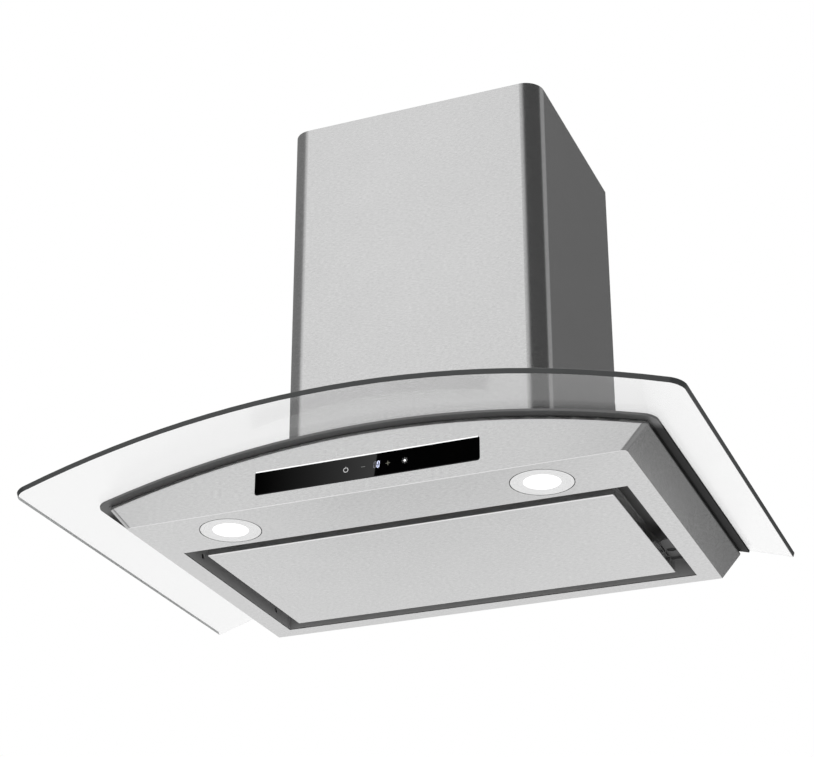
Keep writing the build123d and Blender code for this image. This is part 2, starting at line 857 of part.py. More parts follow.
save(lamp_rims, "lamp_rims")

with BuildPart() as lamp_lenses:
    with BuildSketch(Plane.XY.offset(lens_setback)):
        with Locations(*lamp_places):
            Circle(lamp_lens_radius)
    extrude(amount=lens_thick)
save(lamp_lenses, "lamp_lenses")

with BuildPart() as lamp_boards:
    with BuildSketch(Plane.XY.offset(neck_top)):
        with Locations(*lamp_places):
            Circle(lamp_lens_radius)
    extrude(amount=-board_thick)
save(lamp_boards, "lamp_boards")

clip_foot_x = lamp_rim_radius + body_gap + sheet + clip_clear
clip_height = neck_top + clip_rise
clip_sides = [(place[0], side) for place in lamp_places for side in (-1, 1)]

with BuildPart() as lamp_housings:
    with BuildSketch(Plane.XY.offset(neck_top)):
        with Locations(*lamp_places):
            Circle(lamp_neck_radius)
    extrude(amount=lamp_housing_height)
    with BuildSketch(Plane.XY.offset(neck_top + lamp_fin_base)):
        with Locations(*lamp_places):
            with PolarLocations(lamp_neck_radius, lamp_fin_count, start_angle=180 / lamp_fin_count):
                Rectangle(2 * lamp_fin_depth, lamp_fin_slot)
    extrude(amount=lamp_housing_height, mode=Mode.SUBTRACT)
    with BuildSketch(front_plane(lamp_y)):
        for lamp_x, side in clip_sides:
            with BuildLine():
                Polyline(
                    (lamp_x + side * (lamp_neck_radius - lamp_neck_wall), clip_height),
                    (lamp_x + side * (clip_foot_x + clip_thick), clip_height),
                    (lamp_x + side * (clip_foot_x + clip_thick), sheet),
                    (lamp_x + side * clip_foot_x, sheet),
                    (lamp_x + side * clip_foot_x, clip_height - clip_thick),
                    (lamp_x + side * (lamp_neck_radius - lamp_neck_wall), clip_height - clip_thick),
                    close=True,
                )
            make_face()
    extrude(amount=clip_width / 2, both=True)
save(lamp_housings, "lamp_housings")

# Touch control: a glass strip a little proud of the front wall, a plastic carrier, and its board.
carrier_front_y = body_front_y + sheet
touch_back_y = body_front_y - touch_proud + touch_glass_thick
board_front_y = touch_back_y + touch_pad_gap
carrier_width = touch_width + 2 * (body_gap + carrier_wall)
carrier_height = touch_height + 2 * (body_gap + carrier_wall)

with BuildPart() as touch_glass:
    with BuildSketch(front_plane(touch_back_y)):
        with Locations((0, touch_centre)):
            RectangleRounded(touch_width, touch_height, touch_corner)
    extrude(amount=touch_glass_thick)
    chamfer(touch_glass.faces().sort_by(Axis.Y)[0].edges(), touch_arris)
save(touch_glass, "touch_glass")

with BuildPart() as touch_carrier:
    with BuildSketch(front_plane(carrier_front_y + carrier_depth)):
        with Locations((0, touch_centre)):
            RectangleRounded(carrier_width, carrier_height, touch_corner)
            Rectangle(
                touch_width - 2 * (touch_overlap + carrier_ledge),
                touch_height - 2 * (touch_overlap + carrier_ledge),
                mode=Mode.SUBTRACT,
            )
    extrude(amount=carrier_depth)
    with BuildSketch(front_plane(board_front_y + board_thick)):
        with Locations((0, touch_centre)):
            Rectangle(touch_width - 2 * touch_overlap, touch_height - 2 * touch_overlap)
    extrude(amount=carrier_depth, mode=Mode.SUBTRACT)
    with BuildSketch(front_plane(touch_back_y)):
        with Locations((0, touch_centre)):
            RectangleRounded(
                touch_width + 2 * body_gap, touch_height + 2 * body_gap, touch_corner + body_gap
            )
    extrude(amount=carrier_depth, mode=Mode.SUBTRACT)
save(touch_carrier, "touch_carrier")

with BuildPart() as touch_board:
    with BuildSketch(front_plane(board_front_y + board_thick)):
        with Locations((0, touch_centre)):
            Rectangle(
                touch_width - 2 * (touch_overlap + body_gap),
                touch_height - 2 * (touch_overlap + body_gap),
            )
    extrude(amount=board_thick)
    with BuildSketch(front_plane(board_front_y)):
        with Locations((display_x, touch_centre)):
            Rectangle(display_width, display_height)
    extrude(amount=touch_pad_gap)
save(touch_board, "touch_board")

# Control box behind it, with its lid, the ribbon that joins them, the lamp driver and the leads.
control_front_y = carrier_front_y + carrier_depth + control_gap
control_y = control_front_y + control_depth / 2
control_top = sheet + control_height

with BuildPart() as touch_ribbon:
    with BuildSketch(front_plane(control_front_y)):
        with Locations((0, touch_centre)):
            Rectangle(ribbon_width, ribbon_thick)
    extrude(amount=control_front_y - board_front_y - board_thick)
save(touch_ribbon, "touch_ribbon")

with BuildPart() as control_box:
    with BuildSketch(Plane.XY.offset(sheet)):
        with Locations((0, control_y)):
            RectangleRounded(control_length, control_depth, control_corner)
    extrude(amount=control_height)
    offset(amount=-control_wall, openings=control_box.faces().sort_by(Axis.Z)[-1])
save(control_box, "control_box")

with BuildPart() as control_box_lid:
    with BuildSketch(Plane.XY.offset(control_top)):
        with Locations((0, control_y)):
            RectangleRounded(control_length, control_depth, control_corner)
    extrude(amount=control_wall)
save(control_box_lid, "control_box_lid")

driver_x = control_length / 2 + driver_gap + driver_length / 2

with BuildPart() as led_driver:
    with BuildSketch(Plane.XY.offset(sheet)):
        with Locations((driver_x, lamp_y)):
            RectangleRounded(driver_length, driver_depth, control_corner)
    extrude(amount=driver_height)
    chamfer(led_driver.faces().sort_by(Axis.Z)[-1].edges(), screw_arris)
save(led_driver, "led_driver")

lead_runs = [
    (-lamp_spread / 2 + lamp_neck_radius, -control_length / 2),
    (control_length / 2, driver_x - driver_length / 2),
    (driver_x + driver_length / 2, lamp_spread / 2 - lamp_neck_radius),
]

with BuildPart() as lamp_leads:
    for start, end in lead_runs:
        with BuildSketch(side_plane(start)):
            with Locations((lamp_y, lead_height)):
                Circle(lead_radius)
        extrude(amount=end - start)
save(lamp_leads, "lamp_leads")

# Blower frame: a flanged steel collar that stands on the top plate and carries the blower box.
frame_block = arch_block(plate_arch)
box_opening_width = box_width - 2 * box_flange
box_opening_depth = box_depth - 2 * box_flange
box_screw_places = [
    (side * (box_width / 2 - box_screw_margin), box_y + end * (box_depth / 2 - box_screw_margin))
    for side in (-1, 1)
    for end in (-1, 1)
]

with BuildPart() as blower_frame:
    with BuildSketch(Plane.XY):
        with Locations((0, box_y)):
            Rectangle(frame_width, frame_depth)
    extrude(amount=frame_height)
    with BuildSketch(Plane.XY):
        with Locations((0, box_y)):
            Rectangle(frame_width - 2 * frame_wall, frame_depth - 2 * frame_wall)
    extrude(amount=frame_height - frame_wall, mode=Mode.SUBTRACT)
    with BuildSketch(Plane.XY.offset(frame_height)):
        with Locations((0, box_y)):
            Rectangle(box_width, box_depth)
    extrude(amount=-frame_wall)
    with BuildSketch(Plane.XY):
        with Locations((0, box_y)):
            Rectangle(box_opening_width, box_opening_depth)
        with Locations(*box_screw_places):
            Circle(screw_radius + screw_clear)
    extrude(amount=frame_height, mode=Mode.SUBTRACT)
    add(frame_block, mode=Mode.SUBTRACT)
save(blower_frame, "blower_frame")

# Blower box: folded sheet round the fan, open below and with a round outlet in its top.
outlet_y = box_y + outlet_shift
collar_screw_places = [
    (0, outlet_y - collar_screw_radius),
    (0, outlet_y + collar_screw_radius),
    (-collar_screw_radius, outlet_y),
    (collar_screw_radius, outlet_y),
]

with BuildPart() as blower_box:
    with BuildSketch(Plane.XY.offset(frame_height)):
        with Locations((0, box_y)):
            Rectangle(box_width, box_depth)
    extrude(amount=box_height)
    with BuildSketch(Plane.XY.offset(frame_height + box_sheet)):
        with Locations((0, box_y)):
            Rectangle(box_width - 2 * box_sheet, box_depth - 2 * box_sheet)
    extrude(amount=box_height - 2 * box_sheet, mode=Mode.SUBTRACT)
    with BuildSketch(Plane.XY.offset(frame_height)):
        with Locations((0, box_y)):
            Rectangle(box_opening_width, box_opening_depth)
        with Locations(*box_screw_places):
            Circle(screw_radius + screw_clear)
    extrude(amount=box_sheet, mode=Mode.SUBTRACT)
    with BuildSketch(Plane.XY.offset(box_top)):
        with Locations((0, outlet_y)):
            Circle(collar_radius - collar_wall)
        with Locations(*collar_screw_places):
            Circle(screw_radius + screw_clear)
    extrude(amount=-box_sheet, mode=Mode.SUBTRACT)
save(blower_box, "blower_box")

box_floor = frame_height + box_sheet
box_screw_length = box_sheet + frame_wall + seat_slack + nut_height + screw_tip

with BuildPart() as box_screws:
    with BuildSketch(Plane.XY.offset(box_floor)):
        with Locations(*box_screw_places):
            Circle(screw_head_radius)
    extrude(amount=screw_head_height)
    with BuildSketch(Plane.XY.offset(box_floor)):
        with Locations(*box_screw_places):
            Circle(screw_radius)
    extrude(amount=-box_screw_length)
    with BuildSketch(Plane.XY.offset(frame_height - frame_wall)):
        with Locations(*box_screw_places):
            RegularPolygon(nut_radius, 6)
    extrude(amount=-nut_height)
save(box_screws, "box_screws")

# Volute: a scroll of four arcs round the wheel, opening upwards into a wide outlet.
step = scroll_step / 2
right_wall_y = box_y + step + scroll_radius + 2 * scroll_step
tongue_y = box_y - step + (scroll_radius - scroll_step) * cos(radians(tongue_angle))
tongue_z = fan_height + step + (scroll_radius - scroll_step) * sin(radians(tongue_angle))
volute_top = box_top - box_sheet
outlet_half = collar_radius - collar_wall - outlet_margin

with BuildSketch(side_plane(-volute_half)) as scroll_inside:
    with BuildLine():
        CenterArc(
            (box_y - step, fan_height + step), scroll_radius - scroll_step, tongue_angle, 90 - tongue_angle
        )
        CenterArc((box_y - step, fan_height - step), scroll_radius, 90, 90)
        CenterArc((box_y + step, fan_height - step), scroll_radius + scroll_step, 180, 90)
        CenterArc((box_y + step, fan_height + step), scroll_radius + 2 * scroll_step, 270, 90)
        Polyline(
            (right_wall_y, fan_height + step),
            (right_wall_y, volute_top - outlet_slope),
            (outlet_y + outlet_half, volute_top),
            (outlet_y - outlet_half, volute_top),
            (tongue_y, tongue_z),
        )
    make_face()

with BuildPart() as volute:
    with BuildSketch(side_plane(-volute_half)):
        add(scroll_inside.sketch_local)
        offset(amount=volute_wall)
        add(scroll_inside.sketch_local, mode=Mode.SUBTRACT)
    extrude(amount=2 * volute_half)
    with BuildSketch(Plane.XY.offset(volute_top)):
        with Locations((0, outlet_y)):
            Rectangle(box_opening_width, box_depth, mode=Mode.ADD)
    extrude(amount=volute_wall * 2, mode=Mode.SUBTRACT)
    with BuildSketch(Plane.XY.offset(volute_top)):
        with Locations((0, outlet_y)):
            Rectangle(2 * (volute_half + outlet_flange), 2 * (outlet_half + outlet_flange))
            Rectangle(2 * volute_half, 2 * outlet_half, mode=Mode.SUBTRACT)
        with Locations(*collar_screw_places):
            Circle(screw_radius + screw_clear, mode=Mode.SUBTRACT)
    extrude(amount=-volute_wall)
save(volute, "volute")

with BuildPart() as volute_side_right:
    with BuildSketch(side_plane(volute_half)):
        add(scroll_inside.sketch_local)
        offset(amount=volute_wall)
        with Locations((box_y, fan_height)):
            Circle(inlet_radius, mode=Mode.SUBTRACT)
    extrude(amount=volute_wall)
    with BuildSketch(side_plane(volute_half)):
        with Locations((box_y, fan_height)):
            Circle(inlet_radius + volute_wall)
            Circle(inlet_radius, mode=Mode.SUBTRACT)
    extrude(amount=volute_wall + inlet_lip)
    with BuildSketch(Plane.XY.offset(volute_top - volute_wall)):
        with Locations((0, outlet_y)):
            Rectangle(box_width, box_depth)
    extrude(amount=2 * volute_wall + volute_wall, mode=Mode.SUBTRACT)
save(volute_side_right, "volute_side_right")

with BuildPart() as volute_side_left:
    mirror(volute_side_right.part, about=Plane.YZ)
save(volute_side_left, "volute_side_left")

# Motor: carried inside the wheel by a three-armed bracket on rubber mounts.
mount_x = volute_half + volute_wall
arm_x = mount_x + bush_height

with BuildPart() as motor_mounts:
    with BuildSketch(side_plane(-mount_x)):
        with Locations((box_y, fan_height)):
            with PolarLocations(arm_radius, arm_count, start_angle=90):
                Circle(bush_radius)
    extrude(amount=-bush_height)
save(motor_mounts, "motor_mounts")

with BuildPart() as motor_bracket:
    with BuildSketch(side_plane(-arm_x)):
        with Locations((box_y, fan_height)):
            Circle(motor_cap_radius)
            with PolarLocations(arm_radius / 2, arm_count, start_angle=90):
                Rectangle(arm_radius, arm_width)
            with PolarLocations(arm_radius, arm_count, start_angle=90):
                Circle(arm_width / 2)
    extrude(amount=-arm_thick)
save(motor_bracket, "motor_bracket")

motor_front_x = wheel_disc_x - motor_front_gap
motor_back_x = motor_front_x - motor_length
shaft_back_x = motor_front_x - shaft_depth

with BuildPart() as motor_body:
    with BuildSketch(side_plane(motor_back_x)):
        with Locations((box_y, fan_height)):
            Circle(motor_radius)
    extrude(amount=motor_length)
    fillet(motor_body.edges().filter_by(GeomType.CIRCLE), motor_round)
    with BuildSketch(side_plane(-arm_x)):
        with Locations((box_y, fan_height)):
            Circle(motor_cap_radius)
    extrude(amount=arm_x + motor_back_x)
    with BuildSketch(side_plane(shaft_back_x)):
        with Locations((box_y, fan_height)):
            Circle(shaft_radius + running_gap)
    extrude(amount=shaft_depth, mode=Mode.SUBTRACT)
save(motor_body, "motor_body")

# Blower wheel: forward-curved blades between two rings, a disc and a hub on the motor's shaft.
hub_back_x = wheel_disc_x - hub_setback
hub_front_x = hub_back_x + hub_length
blade_circle = wheel_radius - blade_depth / 2

with BuildPart() as blower_wheel:
    with BuildSketch(side_plane(-wheel_width / 2), side_plane(wheel_width / 2 - wheel_ring)):
        with Locations((box_y, fan_height)):
            Circle(wheel_radius)
            Circle(wheel_radius - blade_depth, mode=Mode.SUBTRACT)
    extrude(amount=wheel_ring)
    with BuildSketch(side_plane(-wheel_width / 2)):
        with Locations((box_y, fan_height)):
            with PolarLocations(blade_circle, wheel_blades):
                Rectangle(blade_depth, blade_thick, rotation=blade_lean)
    extrude(amount=wheel_width)
    with BuildSketch(side_plane(wheel_disc_x)):
        with Locations((box_y, fan_height)):
            Circle(wheel_radius)
    extrude(amount=wheel_disc)
    with BuildSketch(side_plane(hub_back_x)):
        with Locations((box_y, fan_height)):
            Circle(hub_radius)
    extrude(amount=hub_length)
    with BuildSketch(side_plane(hub_back_x)):
        with Locations((box_y, fan_height)):
            Circle(shaft_radius)
    extrude(amount=hub_length, mode=Mode.SUBTRACT)
save(blower_wheel, "blower_wheel")

with BuildPart() as motor_shaft:
    with BuildSketch(side_plane(shaft_back_x + shaft_end_gap)):
        with Locations((box_y, fan_height)):
            Circle(shaft_radius)
    extrude(amount=hub_front_x + wheel_nut_height + screw_tip - shaft_back_x - shaft_end_gap)
save(motor_shaft, "motor_shaft")

with BuildPart() as wheel_nut:
    with BuildSketch(side_plane(hub_front_x)):
        with Locations((box_y, fan_height)):
            RegularPolygon(wheel_nut_radius, 6)
            Circle(shaft_radius, mode=Mode.SUBTRACT)
    extrude(amount=wheel_nut_height)
save(wheel_nut, "wheel_nut")

# Outlet collar with its screws, the spindle across it and two half-round back-draught flaps.
spindle_z = box_top + spindle_height

with BuildPart() as duct_collar:
    with BuildSketch(Plane.XY.offset(box_top)):
        with Locations((0, outlet_y)):
            Circle(collar_radius + collar_flange)
        with Locations(*collar_screw_places):
            Circle(screw_radius + screw_clear, mode=Mode.SUBTRACT)
    extrude(amount=collar_foot)
    with BuildSketch(Plane.XY.offset(box_top)):
        with Locations((0, outlet_y)):
            Circle(collar_radius)
    extrude(amount=collar_height)
    with BuildSketch(Plane.XY.offset(box_top)):
        with Locations((0, outlet_y)):
            Circle(collar_radius - collar_wall)
    extrude(amount=collar_height, mode=Mode.SUBTRACT)
    with BuildSketch(side_plane(0)):
        with Locations((outlet_y, spindle_z)):
            Circle(spindle_radius)
    extrude(amount=collar_radius, both=True, mode=Mode.SUBTRACT)
save(duct_collar, "duct_collar")

with BuildPart() as collar_screws:
    with BuildSketch(Plane.XY.offset(box_top + collar_foot)):
        with Locations(*collar_screw_places):
            Circle(collar_head_radius)
    extrude(amount=collar_head_height)
    with BuildSketch(Plane.XY.offset(box_top + collar_foot)):
        with Locations(*collar_screw_places):
            Circle(screw_radius)
    extrude(amount=-collar_screw_length)
save(collar_screws, "collar_screws")

with BuildPart() as damper_spindle:
    with BuildSketch(side_plane(0)):
        with Locations((outlet_y, spindle_z)):
            Circle(spindle_radius)
    extrude(amount=collar_radius, both=True)
save(damper_spindle, "damper_spindle")

flap_radius = collar_radius - collar_wall - flap_clear
loop_radius = spindle_radius + running_gap + flap_loop_wall

with BuildPart() as damper_flap_front:
    with BuildSketch(Plane.XY.offset(spindle_z - flap_thick / 2)):
        with Locations((0, outlet_y)):
            Circle(flap_radius)
        with Locations((0, outlet_y - spindle_radius - flap_edge + flap_radius)):
            Rectangle(2 * flap_radius, 2 * flap_radius, mode=Mode.SUBTRACT)
        with Locations((-flap_loop_near, outlet_y), (flap_loop_near, outlet_y)):
            Rectangle(flap_loop_length + 2 * flap_notch, 2 * (loop_radius + flap_notch), mode=Mode.SUBTRACT)
    extrude(amount=flap_thick)
    with BuildSketch(side_plane(-flap_loop_far), side_plane(flap_loop_far)):
        with Locations((outlet_y, spindle_z)):
            Circle(loop_radius)
    extrude(amount=flap_loop_length / 2, both=True)
    with BuildSketch(side_plane(0)):
        with Locations((outlet_y, spindle_z)):
            Circle(spindle_radius + running_gap)
    extrude(amount=flap_radius, both=True, mode=Mode.SUBTRACT)
save(damper_flap_front, "damper_flap_front")

with BuildPart() as damper_flap_rear:
    with BuildSketch(Plane.XY.offset(spindle_z - flap_thick / 2)):
        with Locations((0, outlet_y)):
            Circle(flap_radius)
        with Locations((0, outlet_y + spindle_radius + flap_edge - flap_radius)):
            Rectangle(2 * flap_radius, 2 * flap_radius, mode=Mode.SUBTRACT)
        with Locations((-flap_loop_far, outlet_y), (flap_loop_far, outlet_y)):
            Rectangle(flap_loop_length + 2 * flap_notch, 2 * (loop_radius + flap_notch), mode=Mode.SUBTRACT)
    extrude(amount=flap_thick)
    with BuildSketch(side_plane(-flap_loop_near), side_plane(flap_loop_near)):
        with Locations((outlet_y, spindle_z)):
            Circle(loop_radius)
    extrude(amount=flap_loop_length / 2, both=True)
    with BuildSketch(side_plane(0)):
        with Locations((outlet_y, spindle_z)):
            Circle(spindle_radius + running_gap)
    extrude(amount=flap_radius, both=True, mode=Mode.SUBTRACT)
save(damper_flap_rear, "damper_flap_rear")

# Run capacitor in its strap, and the terminal box with its gland, on top of the blower box.
top_row_y = box_y - box_depth / 2 + top_row_inset
terminal_x = box_width / 2 - terminal_edge
capacitor_z = box_top + capacitor_clip + capacitor_radius

with BuildPart() as capacitor:
    with BuildSketch(side_plane(-terminal_x)):
        with Locations((top_row_y, capacitor_z)):
            Circle(capacitor_radius)
    extrude(amount=capacitor_length / 2, both=True)
    fillet(capacitor.edges().filter_by(GeomType.CIRCLE), screw_arris)
    with BuildSketch(side_plane(-terminal_x)):
        with Locations((top_row_y, capacitor_z)):
            Circle(capacitor_radius + capacitor_clip)
        with Locations((top_row_y, (box_top + capacitor_z) / 2)):
            Rectangle(2 * (capacitor_radius + capacitor_clip), capacitor_z - box_top)
    extrude(amount=capacitor_clip_width / 2, both=True)
save(capacitor, "capacitor")

with BuildPart() as terminal_box:
    with BuildSketch(Plane.XY.offset(box_top)):
        with Locations((terminal_x, top_row_y)):
            RectangleRounded(terminal_length, terminal_depth, control_corner)
    extrude(amount=terminal_height)
    offset(amount=-control_wall, openings=terminal_box.faces().sort_by(Axis.Z)[0])
    with BuildSketch(Plane.XY.offset(box_top + terminal_height)):
        with Locations((terminal_x, top_row_y)):
            Circle(gland_bore)
    extrude(amount=-control_wall, mode=Mode.SUBTRACT)
save(terminal_box, "terminal_box")

with BuildPart() as cable_gland:
    with BuildSketch(Plane.XY.offset(box_top + terminal_height)):
        with Locations((terminal_x, top_row_y)):
            RegularPolygon(gland_radius, 6)
    extrude(amount=gland_height / 2)
    with BuildSketch(Plane.XY.offset(box_top + terminal_height)):
        with Locations((terminal_x, top_row_y)):
            Circle(gland_radius - gland_taper)
    extrude(amount=gland_height)
    with BuildSketch(Plane.XY.offset(box_top + terminal_height)):
        with Locations((terminal_x, top_row_y)):
            Circle(gland_bore)
    extrude(amount=gland_height, mode=Mode.SUBTRACT)
save(cable_gland, "cable_gland")

# Wall fixing: a rail screwed to the wall, and a hanger on the box that hooks over its lip.
rail_front_y = wall_y - rail_arm
hanger_back_y = rail_front_y + rail_sheet + hanger_clear + rail_sheet

with BuildPart() as wall_bracket:
    with BuildSketch(side_plane(0)):
        with BuildLine():
            Polyline(
                (wall_y, rail_low),
                (wall_y, rail_low + rail_plate),
                (rail_front_y + rail_sheet, rail_low + rail_plate),
                (rail_front_y + rail_sheet, rail_low + rail_plate + rail_hook),
                (rail_front_y, rail_low + rail_plate + rail_hook),
                (rail_front_y, rail_low + rail_plate - rail_sheet),
                (wall_y - rail_sheet, rail_low + rail_plate - rail_sheet),
                (wall_y - rail_sheet, rail_low),
                close=True,
            )
        make_face()
    extrude(amount=rail_width / 2, both=True)
    with BuildSketch(front_plane(wall_y)):
        with Locations((0, rail_low + rail_plate / 2)):
            with GridLocations(wall_hole_spacing, 0, 2, 1):
                Circle(wall_hole_radius)
    extrude(amount=rail_sheet, mode=Mode.SUBTRACT)
save(wall_bracket, "wall_bracket")

hook_top = rail_low + rail_plate + rail_hook

with BuildPart() as box_hanger:
    with BuildSketch(side_plane(0)):
        with BuildLine():
            Polyline(
                (box_back_y, hook_top - hanger_plate),
                (box_back_y, hook_top + rail_sheet),
                (hanger_back_y, hook_top + rail_sheet),
                (hanger_back_y, hook_top - rail_hook + hanger_clear),
                (hanger_back_y - rail_sheet, hook_top - rail_hook + hanger_clear),
                (hanger_back_y - rail_sheet, hook_top),
                (box_back_y + rail_sheet, hook_top),
                (box_back_y + rail_sheet, hook_top - hanger_plate),
                close=True,
            )
        make_face()
    extrude(amount=frame_width / 2 - hanger_inset, both=True)
save(box_hanger, "box_hanger")

with BuildPart() as wall_bumpers:
    with BuildSketch(front_plane(wall_y)):
        with Locations((0, bumper_height)):
            with GridLocations(bumper_spread, 0, 2, 1):
                Circle(bumper_radius)
    extrude(amount=wall_gap)
save(wall_bumpers, "wall_bumpers")

# Chimney cover: a folded U of brushed steel with returns against the wall, its foot cut to the
# bend of the glass, and the brackets that fix it to the blower box.
chimney_y = wall_y - chimney_depth / 2
foot_block = arch_block(arch_radius + glass_thick + chimney_foot_gap)

with BuildPart() as chimney_cover:
    with BuildSketch(Plane.XY) as cover_plan:
        with Locations((0, chimney_y)):
            Rectangle(chimney_width, chimney_depth)
        fillet(cover_plan.vertices().group_by(Axis.Y)[0], chimney_corner)
        offset(amount=-chimney_sheet, mode=Mode.SUBTRACT)
        with Locations((0, wall_y)):
            Rectangle(chimney_width - 2 * chimney_return, chimney_corner, mode=Mode.SUBTRACT)
    extrude(amount=chimney_top)
    add(foot_block, mode=Mode.SUBTRACT)
save(chimney_cover, "chimney_cover")

cover_inside_x = chimney_width / 2 - chimney_sheet
cover_bracket_low = frame_height + cover_bracket_rise

with BuildPart() as cover_brackets:
    for side in (-1, 1):
        with BuildSketch(front_plane(box_y + cover_bracket_depth / 2)):
            with BuildLine():
                Polyline(
                    (side * box_width / 2, cover_bracket_low),
                    (side * cover_inside_x, cover_bracket_low),
                    (side * cover_inside_x, cover_bracket_low + cover_bracket_height),
                    (side * (cover_inside_x - bracket_sheet), cover_bracket_low + cover_bracket_height),
                    (side * (cover_inside_x - bracket_sheet), cover_bracket_low + bracket_sheet),
                    (side * (box_width / 2 + bracket_sheet), cover_bracket_low + bracket_sheet),
                    (side * (box_width / 2 + bracket_sheet), cover_bracket_low + cover_bracket_height),
                    (side * box_width / 2, cover_bracket_low + cover_bracket_height),
                    close=True,
                )
            make_face()
        extrude(amount=cover_bracket_depth)
save(cover_brackets, "cover_brackets")

# Chimney extension: an inner U that slides up to the ceiling, with the strap that fixes it there.
sleeve_width = chimney_width - 2 * (chimney_sheet + sleeve_clear)
sleeve_front_y = wall_y - chimney_depth + chimney_sheet + sleeve_clear
sleeve_back_y = wall_y - chimney_sheet - sleeve_back_gap
sleeve_depth = sleeve_back_y - sleeve_front_y
sleeve_return = chimney_return - sleeve_clear - chimney_sheet

with BuildPart() as chimney_extension:
    with BuildSketch(Plane.XY.offset(sleeve_bottom)) as sleeve_plan:
        with Locations((0, (sleeve_front_y + sleeve_back_y) / 2)):
            Rectangle(sleeve_width, sleeve_depth)
        fillet(sleeve_plan.vertices().group_by(Axis.Y)[0], chimney_corner - chimney_sheet - sleeve_clear)
        offset(amount=-sleeve_sheet, mode=Mode.SUBTRACT)
        with Locations((0, sleeve_back_y)):
            Rectangle(sleeve_width - 2 * sleeve_return, chimney_corner, mode=Mode.SUBTRACT)
    extrude(amount=sleeve_top - sleeve_bottom)
save(chimney_extension, "chimney_extension")

strap_back_y = sleeve_back_y - sleeve_sheet
strap_low = sleeve_top - strap_drop - strap_height
strap_end_x = sleeve_width / 2 - sleeve_sheet - sleeve_clear
strap_bend_x = sleeve_width / 2 - sleeve_return - strap_bend

with BuildPart() as extension_strap:
    with BuildSketch(Plane.XY.offset(strap_low)):
        with BuildLine():
            Polyline(
                (-strap_end_x, strap_back_y),
                (-strap_bend_x, strap_back_y),
                (-strap_bend_x, wall_y),
                (strap_bend_x, wall_y),
                (strap_bend_x, strap_back_y),
                (strap_end_x, strap_back_y),
                (strap_end_x, strap_back_y - strap_sheet),
                (strap_bend_x - strap_sheet, strap_back_y - strap_sheet),
                (strap_bend_x - strap_sheet, wall_y - strap_sheet),
                (strap_sheet - strap_bend_x, wall_y - strap_sheet),
                (strap_sheet - strap_bend_x, strap_back_y - strap_sheet),
                (-strap_end_x, strap_back_y - strap_sheet),
                close=True,
            )
        make_face()
    extrude(amount=strap_height)
    with BuildSketch(front_plane(wall_y)):
        with Locations((0, strap_low + strap_height / 2)):
            with GridLocations(strap_hole_spacing, 0, 2, 1):
                Circle(wall_hole_radius)
    extrude(amount=strap_sheet, mode=Mode.SUBTRACT)
save(extension_strap, "extension_strap")
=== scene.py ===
import math

import bmesh
import bpy
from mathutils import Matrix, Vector


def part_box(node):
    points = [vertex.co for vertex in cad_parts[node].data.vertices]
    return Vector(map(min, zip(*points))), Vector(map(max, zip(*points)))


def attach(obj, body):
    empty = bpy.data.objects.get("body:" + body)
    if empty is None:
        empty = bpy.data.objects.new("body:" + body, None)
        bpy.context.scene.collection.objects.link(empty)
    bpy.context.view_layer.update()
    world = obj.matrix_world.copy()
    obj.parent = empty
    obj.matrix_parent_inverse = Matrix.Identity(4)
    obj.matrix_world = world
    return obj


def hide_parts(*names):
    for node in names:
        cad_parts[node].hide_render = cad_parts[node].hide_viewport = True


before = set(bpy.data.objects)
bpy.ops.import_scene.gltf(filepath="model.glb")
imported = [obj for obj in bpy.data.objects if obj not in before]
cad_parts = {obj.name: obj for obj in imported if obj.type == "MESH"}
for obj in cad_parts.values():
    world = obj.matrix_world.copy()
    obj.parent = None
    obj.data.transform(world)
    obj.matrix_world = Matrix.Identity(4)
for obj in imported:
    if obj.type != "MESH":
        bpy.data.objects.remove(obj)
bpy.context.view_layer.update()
scene = bpy.context.scene
scene.view_settings.view_transform = "Standard"

# Camera. It looks up at the hood from low in front and from the right, about as a person who
# stands at the cooker and bends down sees it, through a long lens that keeps the lines calm.
camera_tilt, camera_side = 26.0715, 21.9017
camera_data = bpy.data.cameras.new("camera")
camera_data.sensor_width = 36
camera_data.lens = 90
camera = bpy.data.objects.new("camera", camera_data)
camera.location = (0.7843, -1.9908, -0.8413)
camera.rotation_euler = (math.radians(90 + camera_tilt), 0, math.radians(camera_side))
scene.collection.objects.link(camera)
scene.camera = camera


# Studio. The hood hangs at its usual height over a plain pale floor, in soft even light. The
# room is white to the eye and in mirrors, and a little dimmer where it lights the hood.
def linear(hex_colour):
    """An sRGB hex colour as linear red, green, blue and alpha."""
    shares = [int(hex_colour[i:i + 2], 16) / 255 for i in (1, 3, 5)]
    return (*(s / 12.92 if s <= 0.04045 else ((s + 0.055) / 1.055) ** 2.4 for s in shares), 1.0)


def add_node(tree, kind, settings, inputs):
    """Adds a node, with its settings, and with each input's value or the output that feeds it."""
    node = tree.nodes.new(kind)
    for name, value in settings.items():
        setattr(node, name, value)
    for name, value in inputs.items():
        if isinstance(value, bpy.types.NodeSocket):
            tree.links.new(value, node.inputs[name])
        else:
            node.inputs[name].default_value = value
    return node


def new_material(name):
    """An empty node material and its tree."""
    material = bpy.data.materials.new(name)
    material.use_nodes = True
    material.node_tree.nodes.clear()
    return material, material.node_tree


def new_mesh(name, points, faces, *materials):
    """A mesh object from its points and faces, in metres."""
    mesh = bpy.data.meshes.new(name)
    mesh.from_pydata(points, [], faces)
    mesh.update()
    made = bpy.data.objects.new(name, mesh)
    for material in materials:
        mesh.materials.append(material)
    scene.collection.objects.link(made)
    return made


def show_in_mirrors_only(panel):
    """Hides a studio panel from everything but reflections."""
    panel.visible_camera = False
    panel.visible_diffuse = False
    panel.visible_transmission = False
    panel.visible_shadow = False


